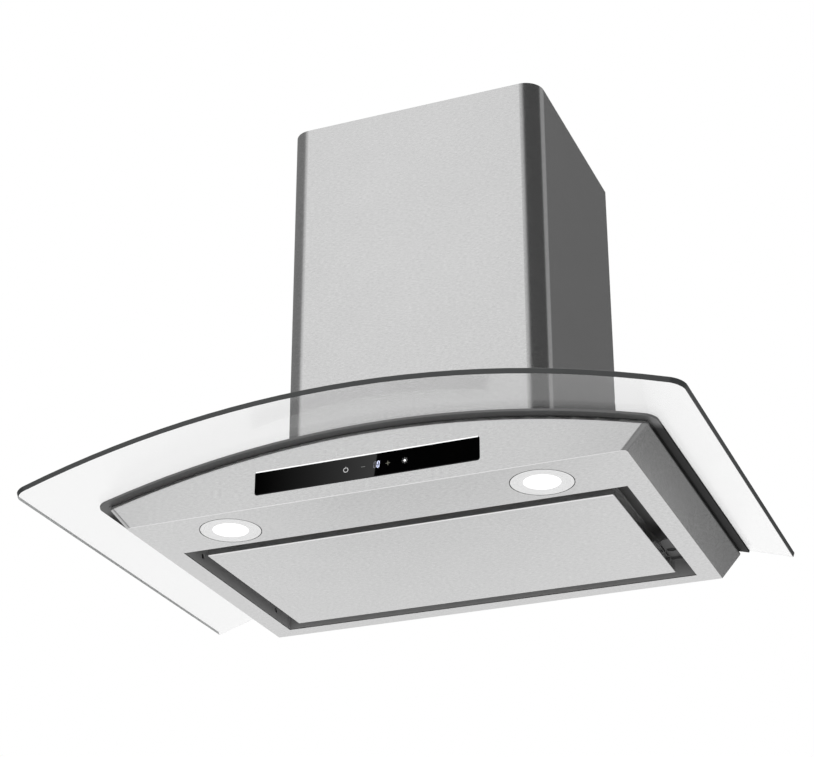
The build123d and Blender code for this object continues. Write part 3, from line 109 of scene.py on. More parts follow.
room_light = 0.9
world = bpy.data.worlds.new("studio_room")
world.use_nodes = True
scene.world = world
room = world.node_tree
room.nodes.clear()
room_rays = add_node(room, "ShaderNodeLightPath", {}, {})
seen_or_mirrored = add_node(
    room, "ShaderNodeMath", {"operation": "MAXIMUM"},
    {0: room_rays.outputs["Is Camera Ray"], 1: room_rays.outputs["Is Glossy Ray"]},
)
shown_white = add_node(
    room, "ShaderNodeMath", {"operation": "MAXIMUM"},
    {0: seen_or_mirrored.outputs[0], 1: room_rays.outputs["Is Transmission Ray"]},
)
room_level = add_node(
    room, "ShaderNodeMapRange", {},
    {"Value": shown_white.outputs[0], "To Min": room_light, "To Max": 1.0},
)
room_white = add_node(
    room, "ShaderNodeBackground", {},
    {"Color": linear("#FFFFFF"), "Strength": room_level.outputs["Result"]},
)
add_node(room, "ShaderNodeOutputWorld", {}, {"Surface": room_white.outputs[0]})

# The floor is matt paint. In mirrors most of it is an even glow, so that the steel shows a bright
# room. Seen from underneath it is clear, so that the hood can be looked at from straight below.
floor_z = -1.6
floor_reach = 8.0
floor_glow_share = 0.9
square = ((-1, -1), (1, -1), (1, 1), (-1, 1))
painted_floor, tree = new_material("matt_painted_floor")
paint = add_node(
    tree, "ShaderNodeBsdfPrincipled", {}, {"Base Color": linear("#EEEEEE"), "Roughness": 0.8}
)
floor_rays = add_node(tree, "ShaderNodeLightPath", {}, {})
mirrored_share = add_node(
    tree, "ShaderNodeMath", {"operation": "MULTIPLY"},
    {0: floor_rays.outputs["Is Glossy Ray"], 1: floor_glow_share},
)
floor_glow = add_node(
    tree, "ShaderNodeEmission", {}, {"Color": linear("#FFFFFF"), "Strength": 0.95}
)
floor_shown = add_node(
    tree, "ShaderNodeMixShader", {},
    {0: mirrored_share.outputs[0], 1: paint.outputs[0], 2: floor_glow.outputs[0]},
)
floor_side = add_node(tree, "ShaderNodeNewGeometry", {}, {})
open_below = add_node(tree, "ShaderNodeBsdfTransparent", {}, {"Color": linear("#FFFFFF")})
floor_finish = add_node(
    tree, "ShaderNodeMixShader", {},
    {0: floor_side.outputs["Backfacing"], 1: floor_shown.outputs[0], 2: open_below.outputs[0]},
)
add_node(tree, "ShaderNodeOutputMaterial", {}, {"Surface": floor_finish.outputs[0]})
floor = new_mesh(
    "studio_floor",
    [(x * floor_reach, y * floor_reach, floor_z) for x, y in square],
    [(0, 1, 2, 3)],
    painted_floor,
)

# Grey cloth screens stand round the hood and show only as reflections. Each has its distance, the
# arc that it covers, how far its edges rise, its grey, and where it fades from white to that
# grey. Angles are in degrees, and turns count from the hood's right side towards its back.
screen_steps = 24
for screen_name, radius, first, last, low, high, grey, bright_end, dark_end in (
    ("right_front", 4.0, -104, 34, 14, 62, "#505050", -104, -78),
    ("right_front_low", 1.5, -104, 50, -45, 14, "#8F8F8F", -104, -78),
    ("right_slit", 3.9, 22, 60, 8, 62, "#A4A4A4", 20, 22),
    ("right_back", 4.0, 50, 92, -11.5, 62, "#6C6C6C", 40, 50),
    ("left", 4.0, 112, 238, 3, 62, "#858585", 238, 222),
    ("left_low", 1.5, 160, 238, -45, 3, "#D0D0D0", 238, 222),
):
    screen_cloth, tree = new_material("grey_screen_cloth_" + screen_name)
    place = add_node(tree, "ShaderNodeTexCoord", {}, {})
    middle = math.radians((first + last) / 2)
    ahead = add_node(
        tree, "ShaderNodeVectorMath", {"operation": "DOT_PRODUCT"},
        {0: place.outputs["Object"], 1: (math.cos(middle), math.sin(middle), 0)},
    )
    aside = add_node(
        tree, "ShaderNodeVectorMath", {"operation": "DOT_PRODUCT"},
        {0: place.outputs["Object"], 1: (-math.sin(middle), math.cos(middle), 0)},
    )
    turn = add_node(
        tree, "ShaderNodeMath", {"operation": "ARCTAN2"},
        {0: aside.outputs["Value"], 1: ahead.outputs["Value"]},
    )
    fade = add_node(
        tree, "ShaderNodeMapRange", {},
        {
            "Value": turn.outputs[0],
            "From Min": math.radians(bright_end) - middle,
            "From Max": math.radians(dark_end) - middle,
        },
    )
    shade = add_node(
        tree, "ShaderNodeMix", {"data_type": "RGBA"},
        {"Factor": fade.outputs["Result"], 6: linear("#FFFFFF"), 7: linear(grey)},
    )
    cloth = add_node(
        tree, "ShaderNodeEmission", {}, {"Color": shade.outputs[2], "Strength": 1.0}
    )
    add_node(tree, "ShaderNodeOutputMaterial", {}, {"Surface": cloth.outputs[0]})
    points, faces = [], []
    for i in range(screen_steps + 1):
        around = math.radians(first + (last - first) * i / screen_steps)
        for rise in (low, high):
            height = radius * math.tan(math.radians(rise))
            points.append((radius * math.cos(around), radius * math.sin(around), height))
        if i:
            faces.append((2 * i - 2, 2 * i, 2 * i + 1, 2 * i - 1))
    screen = new_mesh("studio_screen_" + screen_name, points, faces, screen_cloth)
    show_in_mirrors_only(screen)

# A pale grey board lies on the floor behind the hood. The brushed underside mirrors it softly,
# most of all along its front between the lamps, as a tone below white.
board_left, board_right = -1.5, -0.7
board_front, board_back = 1.6, 3.2
board_lift = 0.02
grey_board, tree = new_material("pale_grey_board")
board_shade = add_node(
    tree, "ShaderNodeEmission", {}, {"Color": linear("#CFCFCF"), "Strength": 1.0}
)
add_node(tree, "ShaderNodeOutputMaterial", {}, {"Surface": board_shade.outputs[0]})
board_corners = (
    (board_left, board_front), (board_right, board_front),
    (board_right, board_back), (board_left, board_back),
)
floor_board = new_mesh(
    "studio_floor_board",
    [(x, y, floor_z + board_lift) for x, y in board_corners],
    [(0, 1, 2, 3)],
    grey_board,
)
show_in_mirrors_only(floor_board)

# One large soft lamp above and in front, on the left. It is aimed at the canopy, and neither
# mirrors nor the glass show it.
key_target = Vector((0, 0, 0.1))
key_light = bpy.data.lights.new("key_light", "AREA")
key_light.shape = "RECTANGLE"
key_light.size = 2.4
key_light.size_y = 1.8
key_light.energy = 12
key = bpy.data.objects.new("key_light", key_light)
key.location = (-1.2, -2.6, 1.7)
key.rotation_euler = (key_target - key.location).to_track_quat("-Z", "Y").to_euler()
key.visible_camera = False
key.visible_glossy = False
key.visible_transmission = False
scene.collection.objects.link(key)


# Canopy body. One folded and welded shell of stainless steel sheet, 1 mm thick, brushed with a
# fine belt along its length, so that it shines softly and shows faint lines that run sideways.
def dress(material, *names):
    """Gives a material to CAD nodes."""
    for name in names:
        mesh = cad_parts[name].data
        mesh.materials.clear()
        mesh.materials.append(material)


brush_length = 0.005      # the belt leaves broken lines, 5 to 20 mm long
brush_width = 0.0012      # a real line is 0.15 mm wide, too fine to show, so it is drawn coarser
cloud_size = 0.060        # the sheet's tone wanders over about 60 mm
cloud_share = 0.12
level_from = 0.75         # the upright part of the normal, above which a face counts as level
brushed_steel, tree = new_material("brushed_stainless_steel")
place = add_node(tree, "ShaderNodeTexCoord", {}, {})
facing = add_node(tree, "ShaderNodeSeparateXYZ", {}, {0: place.outputs["Normal"]})

# On upright faces the lines lie one above the other. On level faces they run sideways, and are
# twice as wide, because the underside and the top are seen at a slant.
upright = add_node(tree, "ShaderNodeMath", {"operation": "ABSOLUTE"}, {0: facing.outputs["Z"]})
lying = add_node(
    tree, "ShaderNodeMath", {"operation": "GREATER_THAN"}, {0: upright.outputs[0], 1: level_from}
)
across = add_node(
    tree, "ShaderNodeMapRange", {},
    {"Value": lying.outputs[0], "To Min": 1 / brush_length, "To Max": 1 / (2 * brush_width)},
)
stretch = add_node(
    tree, "ShaderNodeCombineXYZ", {},
    {"X": 1 / brush_length, "Y": across.outputs["Result"], "Z": 1 / brush_width},
)
along_lines = add_node(
    tree, "ShaderNodeVectorMath", {"operation": "MULTIPLY"},
    {0: place.outputs["Object"], 1: stretch.outputs[0]},
)
brush_lines = add_node(
    tree, "ShaderNodeTexNoise", {},
    {"Vector": along_lines.outputs[0], "Scale": 1.0, "Detail": 3.0, "Roughness": 0.65},
)
clouds = add_node(
    tree, "ShaderNodeTexNoise", {},
    {
        "Vector": place.outputs["Object"],
        "Scale": 1 / cloud_size,
        "Detail": 2.0,
        "Roughness": 0.5,
    },
)
mottle = add_node(
    tree, "ShaderNodeMath", {"operation": "MULTIPLY_ADD"},
    {0: clouds.outputs["Fac"], 1: cloud_share, 2: brush_lines.outputs["Fac"]},
)
tone = add_node(
    tree, "ShaderNodeMapRange", {},
    {"Value": mottle.outputs[0], "From Min": 0.28, "From Max": 0.84},
)
steel_colour = add_node(
    tree, "ShaderNodeMix", {"data_type": "RGBA"},
    {"Factor": tone.outputs["Result"], 6: linear("#C6C6C6"), 7: linear("#DEDEDE")},
)
line_gloss = add_node(
    tree, "ShaderNodeMapRange", {},
    {
        "Value": brush_lines.outputs["Fac"],
        "From Min": 0.3,
        "From Max": 0.7,
        "To Min": 0.19,
        "To Max": 0.23,
    },
)

# Folds have a finish of their own. Y times Z of the normal is above zero on the fold between the
# front and the underside, which is painted pale as a painted highlight along the crease, and below
# zero on the fold between the front and the top, where the bend has strained the sheet dull.
strained_roughness = 0.62
fold = add_node(
    tree, "ShaderNodeMath", {"operation": "MULTIPLY"},
    {0: facing.outputs["Y"], 1: facing.outputs["Z"]},
)
crease_highlight_mask = add_node(
    tree, "ShaderNodeMapRange", {},
    {"Value": fold.outputs[0], "From Min": 0.15, "From Max": 0.4},
)
steel_colour_with_crease_highlight = add_node(
    tree, "ShaderNodeMix", {"data_type": "RGBA"},
    {"Factor": crease_highlight_mask.outputs["Result"], 6: steel_colour.outputs[2], 7: linear("#EFEFEF")},
)
strained = add_node(
    tree, "ShaderNodeMapRange", {},
    {"Value": fold.outputs[0], "From Min": -0.05, "From Max": -0.35},
)
steel_gloss = add_node(
    tree, "ShaderNodeMix", {},
    {0: strained.outputs["Result"], 2: line_gloss.outputs["Result"], 3: strained_roughness},
)
scratches = add_node(
    tree, "ShaderNodeBump", {},
    {"Strength": 0.01, "Distance": 0.000005, "Height": brush_lines.outputs["Fac"]},
)
steel = add_node(
    tree, "ShaderNodeBsdfPrincipled", {},
    {
        "Base Color": steel_colour_with_crease_highlight.outputs[2],
        "Metallic": 1.0,
        "Roughness": steel_gloss.outputs[0],
        "Normal": scratches.outputs[0],
    },
)
add_node(tree, "ShaderNodeOutputMaterial", {}, {"Surface": steel.outputs[0]})
dress(brushed_steel, "canopy_body")


# Top plate of the body. Galvanised sheet steel, bent like the glass and spot-welded under the
# body's flange. The sheet was dipped in molten zinc, which sets in grey crystals, each a little
# lighter or duller than the next.
spangle = 0.012           # real crystals are 5 to 15 mm across
galvanised, tree = new_material("galvanised_steel_sheet")
place = add_node(tree, "ShaderNodeTexCoord", {}, {})
crystals = add_node(
    tree, "ShaderNodeTexVoronoi", {}, {"Vector": place.outputs["Object"], "Scale": 1 / spangle}
)
crystal = add_node(tree, "ShaderNodeSeparateColor", {}, {0: crystals.outputs["Color"]})
zinc_colour = add_node(
    tree, "ShaderNodeMix", {"data_type": "RGBA"},
    {"Factor": crystal.outputs[0], 6: linear("#A9ADB0"), 7: linear("#C3C7C9")},
)
zinc_gloss = add_node(
    tree, "ShaderNodeMapRange", {},
    {"Value": crystal.outputs[1], "To Min": 0.32, "To Max": 0.5},
)
zinc = add_node(
    tree, "ShaderNodeBsdfPrincipled", {},
    {
        "Base Color": zinc_colour.outputs[2],
        "Metallic": 1.0,
        "Roughness": zinc_gloss.outputs["Result"],
    },
)
add_node(tree, "ShaderNodeOutputMaterial", {}, {"Surface": zinc.outputs[0]})
dress(galvanised, "canopy_top_plate")


# Glass seat. A black enamelled band that carries the glass and hides the screws from below, with
# a lip that stands out past the body. The enamel is fired on, so it has a faint ripple. The front
# run is satin, and painted dark grey as a painted reflection. The side runs are dull, and painted
# deep black as painted shade.
enamel_ripple = 0.004     # fired enamel ripples over about 4 mm
front_run = 0.017         # how far back the satin reaches, before it fades over as much again
seat_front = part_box("glass_seat")[0].y
black_enamel, tree = new_material("black_vitreous_enamel")
place = add_node(tree, "ShaderNodeTexCoord", {}, {})
ripple = add_node(
    tree, "ShaderNodeTexNoise", {},
    {"Vector": place.outputs["Object"], "Scale": 1 / enamel_ripple, "Detail": 1.0},
)
# The front run's dark grey is a painted reflection, and the side runs' deep black is painted shade.
front_painted_light_grey = add_node(
    tree, "ShaderNodeMix", {"data_type": "RGBA"},
    {"Factor": ripple.outputs["Fac"], 6: linear("#5C5C5C"), 7: linear("#646464")},
)
seat_place = add_node(tree, "ShaderNodeSeparateXYZ", {}, {0: place.outputs["Object"]})
side_run = add_node(
    tree, "ShaderNodeMapRange", {},
    {
        "Value": seat_place.outputs["Y"],
        "From Min": seat_front + front_run,
        "From Max": seat_front + 2 * front_run,
    },
)
enamel_colour_and_painted_light = add_node(
    tree, "ShaderNodeMix", {"data_type": "RGBA"},
    {"Factor": side_run.outputs["Result"], 6: front_painted_light_grey.outputs[2], 7: linear("#0E0E0E")},
)
enamel_gloss = add_node(
    tree, "ShaderNodeMapRange", {},
    {"Value": side_run.outputs["Result"], "To Min": 0.3, "To Max": 0.7},
)
enamel_wave = add_node(
    tree, "ShaderNodeBump", {},
    {"Strength": 0.1, "Distance": 0.00005, "Height": ripple.outputs["Fac"]},
)
enamel = add_node(
    tree, "ShaderNodeBsdfPrincipled", {},
    {
        "Base Color": enamel_colour_and_painted_light.outputs[2],
        "Roughness": enamel_gloss.outputs["Result"],
        "IOR": 1.5,
        "Normal": enamel_wave.outputs[0],
    },
)
add_node(tree, "ShaderNodeOutputMaterial", {}, {"Surface": enamel.outputs[0]})
dress(black_enamel, "glass_seat")


# Glass canopy. Float glass, cut, bent over a mould and toughened, 6 mm thick, and screwed down on
# the seat. Its faces are clear and bare: a thin soft sheen lies on them, and what is behind shows
# through in place. Light on its way from a lamp passes it unbent, with a faint tint.
float_glass, tree = new_material("clear_toughened_glass")
glass_rays = add_node(tree, "ShaderNodeLightPath", {}, {})
clear = add_node(
    tree, "ShaderNodeBsdfPrincipled", {},
    {
        "Base Color": linear("#FDFDFD"),
        "Roughness": 0.0,
        "IOR": 1.1,
        "Transmission Weight": 1.0,
        "Coat Weight": 1.0,
        "Coat Roughness": 0.3,
        "Coat IOR": 1.6,
    },
)
lamp_way = add_node(tree, "ShaderNodeBsdfTransparent", {}, {"Color": linear("#F6FAF8")})
pane = add_node(
    tree, "ShaderNodeMixShader", {},
    {0: glass_rays.outputs["Is Shadow Ray"], 1: clear.outputs[0], 2: lamp_way.outputs[0]},
)
add_node(tree, "ShaderNodeOutputMaterial", {}, {"Surface": pane.outputs[0]})

# The edges are ground and polished, with a tone that wanders along them. They are painted dark, as
# painted shade, apart from the left edge, which is painted pale, as painted light that runs
# through.
edge_grinding = 0.020     # the wheel's marks change over about 20 mm
edge_materials = []
for edge_name, edge_dark, edge_pale in (
    ("glass_edge_painted_shade", "#2E3030", "#373939"),
    ("glass_edge_painted_light", "#A6A8A8", "#B2B4B4"),
):
    edge_material, tree = new_material(edge_name)
    place = add_node(tree, "ShaderNodeTexCoord", {}, {})
    grinding = add_node(
        tree, "ShaderNodeTexNoise", {},
        {"Vector": place.outputs["Object"], "Scale": 1 / edge_grinding, "Detail": 2.0},
    )
    edge_colour = add_node(
        tree, "ShaderNodeMix", {"data_type": "RGBA"},
        {"Factor": grinding.outputs["Fac"], 6: linear(edge_dark), 7: linear(edge_pale)},
    )
    edge = add_node(
        tree, "ShaderNodeBsdfPrincipled", {},
        {"Base Color": edge_colour.outputs[2], "Roughness": 0.15, "IOR": 1.5},
    )
    add_node(tree, "ShaderNodeOutputMaterial", {}, {"Surface": edge.outputs[0]})
    edge_materials.append(edge_material)

# Faces that look up or down, and the edges that face the wall, are clear. Of the other edges the
# left one has the painted light, and the rest the painted shade. The limits are parts of a face's
# normal.
clear_from, back_from, left_from = 0.92, 0.5, -0.8
glass_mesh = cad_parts["glass_canopy"].data.copy()
glass = bpy.data.objects.new("bent_glass_canopy", glass_mesh)
scene.collection.objects.link(glass)
glass_mesh.materials.clear()
for glass_material in (float_glass, *edge_materials):
    glass_mesh.materials.append(glass_material)
for face in glass_mesh.polygons:
    if abs(face.normal.z) > clear_from or face.normal.y > back_from:
        face.material_index = 0
    else:
        face.material_index = 2 if face.normal.x < left_from else 1
glass.visible_glossy = False
glass.visible_diffuse = False
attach(glass, "hood")
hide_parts("glass_canopy")


# Screws and nuts that hold the glass. Steel with a thin plating of zinc, bright and a little
# cloudy. They go through the glass, the seat and the body.
plating_cloud = 0.002     # real clouds are under 1 mm, so they are drawn coarser
zinc_plate, tree = new_material("zinc_plated_steel")
place = add_node(tree, "ShaderNodeTexCoord", {}, {})
plating = add_node(
    tree, "ShaderNodeTexNoise", {},
    {"Vector": place.outputs["Object"], "Scale": 1 / plating_cloud, "Detail": 2.0},
)
plate_colour = add_node(
    tree, "ShaderNodeMix", {"data_type": "RGBA"},
    {"Factor": plating.outputs["Fac"], 6: linear("#BFC2C6"), 7: linear("#D3D5D7")},
)
plate_gloss = add_node(
    tree, "ShaderNodeMapRange", {},
    {"Value": plating.outputs["Fac"], "To Min": 0.18, "To Max": 0.34},
)
plate = add_node(
    tree, "ShaderNodeBsdfPrincipled", {},
    {
        "Base Color": plate_colour.outputs[2],
        "Metallic": 1.0,
        "Roughness": plate_gloss.outputs["Result"],
    },
)
add_node(tree, "ShaderNodeOutputMaterial", {}, {"Surface": plate.outputs[0]})
dress(zinc_plate, "glass_screws", "glass_nuts")


# Washers under the screws. Black moulded rubber, each with a sleeve in its hole, so that no metal
# touches the glass. The mould leaves a fine dull grain on them.
rubber_grit = 0.0015      # real mould grain is about 0.1 mm, so it is drawn coarser
black_rubber, tree = new_material("black_moulded_rubber")
place = add_node(tree, "ShaderNodeTexCoord", {}, {})
moulding = add_node(
    tree, "ShaderNodeTexNoise", {},
    {"Vector": place.outputs["Object"], "Scale": 1 / rubber_grit, "Detail": 2.0},
)
rubber_colour = add_node(
    tree, "ShaderNodeMix", {"data_type": "RGBA"},
    {"Factor": moulding.outputs["Fac"], 6: linear("#1B1B1B"), 7: linear("#272727")},
)
rubber_grain = add_node(
    tree, "ShaderNodeBump", {},
    {"Strength": 0.2, "Distance": 0.0001, "Height": moulding.outputs["Fac"]},
)
rubber = add_node(
    tree, "ShaderNodeBsdfPrincipled", {},
    {
        "Base Color": rubber_colour.outputs[2],
        "Roughness": 0.75,
        "Normal": rubber_grain.outputs[0],
    },
)
add_node(tree, "ShaderNodeOutputMaterial", {}, {"Surface": rubber.outputs[0]})
dress(black_rubber, "glass_washers")


# Intake tray. It lines the opening behind the suction panel. Folded steel with a grey powder
# coat, baked on, which leaves a smooth skin with a slight ripple like orange peel.
peel_size = 0.002         # orange peel is about 2 mm across
grey_coat, tree = new_material("grey_powder_coated_steel")
place = add_node(tree, "ShaderNodeTexCoord", {}, {})
orange_peel = add_node(
    tree, "ShaderNodeTexNoise", {},
    {"Vector": place.outputs["Object"], "Scale": 1 / peel_size, "Detail": 1.0},
)
coat_colour = add_node(
    tree, "ShaderNodeMix", {"data_type": "RGBA"},
    {"Factor": orange_peel.outputs["Fac"], 6: linear("#929292"), 7: linear("#9E9E9E")},
)
coat_wave = add_node(
    tree, "ShaderNodeBump", {},
    {"Strength": 0.1, "Distance": 0.00005, "Height": orange_peel.outputs["Fac"]},
)
coat = add_node(
    tree, "ShaderNodeBsdfPrincipled", {},
    {"Base Color": coat_colour.outputs[2], "Roughness": 0.35, "Normal": coat_wave.outputs[0]},
)
add_node(tree, "ShaderNodeOutputMaterial", {}, {"Surface": coat.outputs[0]})
dress(grey_coat, "intake_tray")


# Stay bracket. A small folded steel tab with a round hole, on the tray's right wall, where the
# gap beside the panel shows it. It has a thin dark powder coat, duller and finer than the tray's.
def face_outward(made):
    """Turns every face of a closed mesh outward."""
    edit = bmesh.new()
    edit.from_mesh(made.data)
    bmesh.ops.recalc_face_normals(edit, faces=edit.faces)
    edit.to_mesh(made.data)
    edit.free()


def turned(name, middle_x, middle_y, profile, material):
    """A ring turned about an upright axis from a closed line of radius and height."""
    points, faces = [], []
    steps, count = 96, len(profile)
    for i in range(steps):
        around = math.radians(360 * i / steps)
        j = (i + 1) % steps
        for k, (radius, rise) in enumerate(profile):
            m = (k + 1) % count
            x = middle_x + radius * math.cos(around)
            y = middle_y + radius * math.sin(around)
            points.append((x, y, rise))
            faces.append((i * count + k, i * count + m, j * count + m, j * count + k))
    ring = new_mesh(name, points, faces, material)
    face_outward(ring)
    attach(ring, "hood")
    return ring


fine_peel_size = 0.0015   # a thin coat peels finer
dark_coat, tree = new_material("dark_powder_coated_steel")
place = add_node(tree, "ShaderNodeTexCoord", {}, {})
fine_peel = add_node(
    tree, "ShaderNodeTexNoise", {},
    {"Vector": place.outputs["Object"], "Scale": 1 / fine_peel_size, "Detail": 1.0},
)
dark_colour = add_node(
    tree, "ShaderNodeMix", {"data_type": "RGBA"},
    {"Factor": fine_peel.outputs["Fac"], 6: linear("#4E4E4E"), 7: linear("#585858")},
)
dark_paint = add_node(
    tree, "ShaderNodeBsdfPrincipled", {}, {"Base Color": dark_colour.outputs[2], "Roughness": 0.6}
)
add_node(tree, "ShaderNodeOutputMaterial", {}, {"Surface": dark_paint.outputs[0]})
dress(dark_coat, "stay_bracket")

# A black rubber cap sits over the hole, put there as painted shade, so that the hole looks black.
# It is a ring with a pin hole, a wide foot and a bevelled shoulder.
hole_radius, hole_inset, hole_back = 0.0055, 0.0125, 0.026
leg_height = 0.012        # the bracket's leg stands this high above its tab
cap_pin_hole = 0.0005
cap_shoulder = hole_radius + 0.0008
cap_foot = hole_radius + 0.0015
cap_height, cap_bevel_height = 0.0022, 0.0015
bracket_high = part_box("stay_bracket")[1]
tab_top = bracket_high.z - leg_height
cap_profile = [
    (cap_pin_hole, tab_top + cap_height), (cap_shoulder, tab_top + cap_height),
    (cap_foot, tab_top + cap_bevel_height), (cap_foot, tab_top), (cap_pin_hole, tab_top),
]
hole_x, hole_y = bracket_high.x - hole_inset, bracket_high.y - hole_back
hole_shade_cap = turned("stay_bracket_hole_shade", hole_x, hole_y, cap_profile, black_rubber)


# Grease filters. Layers of expanded aluminium mesh in a frame of folded aluminium. The aluminium
# is left as it comes from the mill, pale and satin, with drawing lines along the frame.
drawn_lines = (30, 900, 900)   # lines to the metre: 33 mm by 1.1 mm, coarser than real to show
mill_aluminium, tree = new_material("mill_finish_aluminium")
place = add_node(tree, "ShaderNodeTexCoord", {}, {})
drawing = add_node(
    tree, "ShaderNodeMapping", {}, {"Vector": place.outputs["Object"], "Scale": drawn_lines}
)
draw_lines = add_node(
    tree, "ShaderNodeTexNoise", {}, {"Vector": drawing.outputs[0], "Scale": 1.0, "Detail": 2.0}
)
aluminium_colour = add_node(
    tree, "ShaderNodeMix", {"data_type": "RGBA"},
    {"Factor": draw_lines.outputs["Fac"], 6: linear("#D0D1D2"), 7: linear("#DFE0E0")},
)
aluminium_gloss = add_node(
    tree, "ShaderNodeMapRange", {},
    {"Value": draw_lines.outputs["Fac"], "To Min": 0.28, "To Max": 0.42},
)
aluminium = add_node(
    tree, "ShaderNodeBsdfPrincipled", {},
    {
        "Base Color": aluminium_colour.outputs[2],
        "Metallic": 1.0,
        "Roughness": aluminium_gloss.outputs["Result"],
    },
)
add_node(tree, "ShaderNodeOutputMaterial", {}, {"Surface": aluminium.outputs[0]})
dress(mill_aluminium, "filter_frame_left", "filter_frame_right")

# The mesh is slit and drawn from foil, so its strands lean and zigzag from joint to joint. Two
# layers show, the upper one shifted by half a diamond.
diamond_long, diamond_short = 0.016, 0.008
strand_wide, strand_lift = 0.0013, 0.0006
strand_corners = ((-1, -1), (1, -0.2), (1, 1), (-1, 0.2))
layer_inset = 0.0008
pads_low, pads_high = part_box("filter_meshes")
for side_name, side in (("left", -1), ("right", 1)):
    frame_low, frame_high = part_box("filter_frame_" + side_name)
    frame_far = max(abs(frame_low.x), abs(frame_high.x))
    frame_near = min(abs(frame_low.x), abs(frame_high.x))
    near = frame_near + frame_far - pads_high.x
    knots = round((pads_high.x - near) / (diamond_long / 2))
    rows = round((pads_high.y - pads_low.y) / (diamond_short / 2))
    row_step = (pads_high.y - pads_low.y) / rows
    points, faces = [], []
    for shift, layer_z in ((0, pads_low.z + layer_inset), (1, pads_high.z - layer_inset)):
        for row in range(1, rows):
            for knot in range(knots + 1):
                x = side * (near + (pads_high.x - near) * knot / knots)
                y = pads_low.y + row * row_step + row_step / 2 * (-1) ** (row + knot + shift)
                start = len(points)
                for i, rise in strand_corners:
                    points.append((x, y + i * strand_wide / 2, layer_z + rise * strand_lift))
                if knot:
                    for i in range(4):
                        j = (i + 1) % 4
                        faces.append((start - 4 + i, start - 4 + j, start + j, start + i))
                if knot in (0, knots):
                    end_order = (0, 1, 2, 3) if knot else (3, 2, 1, 0)
                    faces.append(tuple(start + i for i in end_order))
    filter_mesh = new_mesh("filter_mesh_" + side_name, points, faces, mill_aluminium)
    face_outward(filter_mesh)
    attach(filter_mesh, "hood")
    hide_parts("filter_meshes")


# Filter latches. One sprung slide in the front border of each filter, moulded from black ABS. The
# mould is spark eroded, which gives the plastic a fine even grain.
spark_size = 0.0008       # real spark grain is about 0.1 mm, so it is drawn coarser
black_plastic, tree = new_material("black_moulded_abs")
place = add_node(tree, "ShaderNodeTexCoord", {}, {})
spark_grain = add_node(
    tree, "ShaderNodeTexNoise", {},
    {"Vector": place.outputs["Object"], "Scale": 1 / spark_size, "Detail": 1.0},
)
abs_colour = add_node(
    tree, "ShaderNodeMix", {"data_type": "RGBA"},
    {"Factor": spark_grain.outputs["Fac"], 6: linear("#1A1A1B"), 7: linear("#232324")},
)
abs_grain = add_node(
    tree, "ShaderNodeBump", {},
    {"Strength": 0.15, "Distance": 0.00005, "Height": spark_grain.outputs["Fac"]},
)
abs_shell = add_node(
    tree, "ShaderNodeBsdfPrincipled", {},
    {
        "Base Color": abs_colour.outputs[2],
        "Roughness": 0.5,
        "IOR": 1.54,
        "Normal": abs_grain.outputs[0],
    },
)
add_node(tree, "ShaderNodeOutputMaterial", {}, {"Surface": abs_shell.outputs[0]})
dress(black_plastic, "filter_latch_left", "filter_latch_right")


# Suction panel. Brushed stainless steel sheet with folded edges, flush in the opening. Its leaves
# turn on plated pins in two arms under the tray's ceiling, all of them galvanised sheet.
dress(brushed_steel, "suction_panel")
dress(galvanised, "panel_hinge_arms", "panel_hinge_leaves")
dress(zinc_plate, "panel_hinge_pins")


# Magnets that hold the panel shut. Blocks of pressed and sintered ferrite, dark grey and dull
# with a fine grit, in holders under the tray's ceiling. They pull on strikers on the panel, and
# holders and strikers are galvanised.
ferrite_grit = 0.001      # real grit is finer than 0.1 mm, so it is drawn coarser
ferrite, tree = new_material("ferrite_magnet")
place = add_node(tree, "ShaderNodeTexCoord", {}, {})
sinter = add_node(
    tree, "ShaderNodeTexNoise", {},
    {"Vector": place.outputs["Object"], "Scale": 1 / ferrite_grit, "Detail": 2.0},
)
ferrite_colour = add_node(
    tree, "ShaderNodeMix", {"data_type": "RGBA"},
    {"Factor": sinter.outputs["Fac"], 6: linear("#2C2C2E"), 7: linear("#3E3E40")},
)
magnet = add_node(
    tree, "ShaderNodeBsdfPrincipled", {},
    {"Base Color": ferrite_colour.outputs[2], "Roughness": 0.6},
)
add_node(tree, "ShaderNodeOutputMaterial", {}, {"Surface": magnet.outputs[0]})
dress(ferrite, "panel_magnets")
dress(galvanised, "magnet_brackets", "panel_strikers")


# Lamp rims. Turned aluminium rings, flush with the underside, under satin white paint, sprayed on
# and a little cloudy. Each has two fine grooves, a slope to the lens and a thin black seal, which
# also stands in for the shadow gap round the rim as painted shade.
paint_cloud = 0.003       # sprayed paint clouds over about 3 mm
white_paint, tree = new_material("satin_white_lamp_paint")
place = add_node(tree, "ShaderNodeTexCoord", {}, {})
paint_mottle = add_node(
    tree, "ShaderNodeTexNoise", {},
    {"Vector": place.outputs["Object"], "Scale": 1 / paint_cloud, "Detail": 2.0},
)
paint_colour = add_node(
    tree, "ShaderNodeMix", {"data_type": "RGBA"},
    {"Factor": paint_mottle.outputs["Fac"], 6: linear("#F6F6F6"), 7: linear("#FEFEFE")},
)
rim_paint = add_node(
    tree, "ShaderNodeBsdfPrincipled", {}, {"Base Color": paint_colour.outputs[2], "Roughness": 0.4}
)
add_node(tree, "ShaderNodeOutputMaterial", {}, {"Surface": rim_paint.outputs[0]})

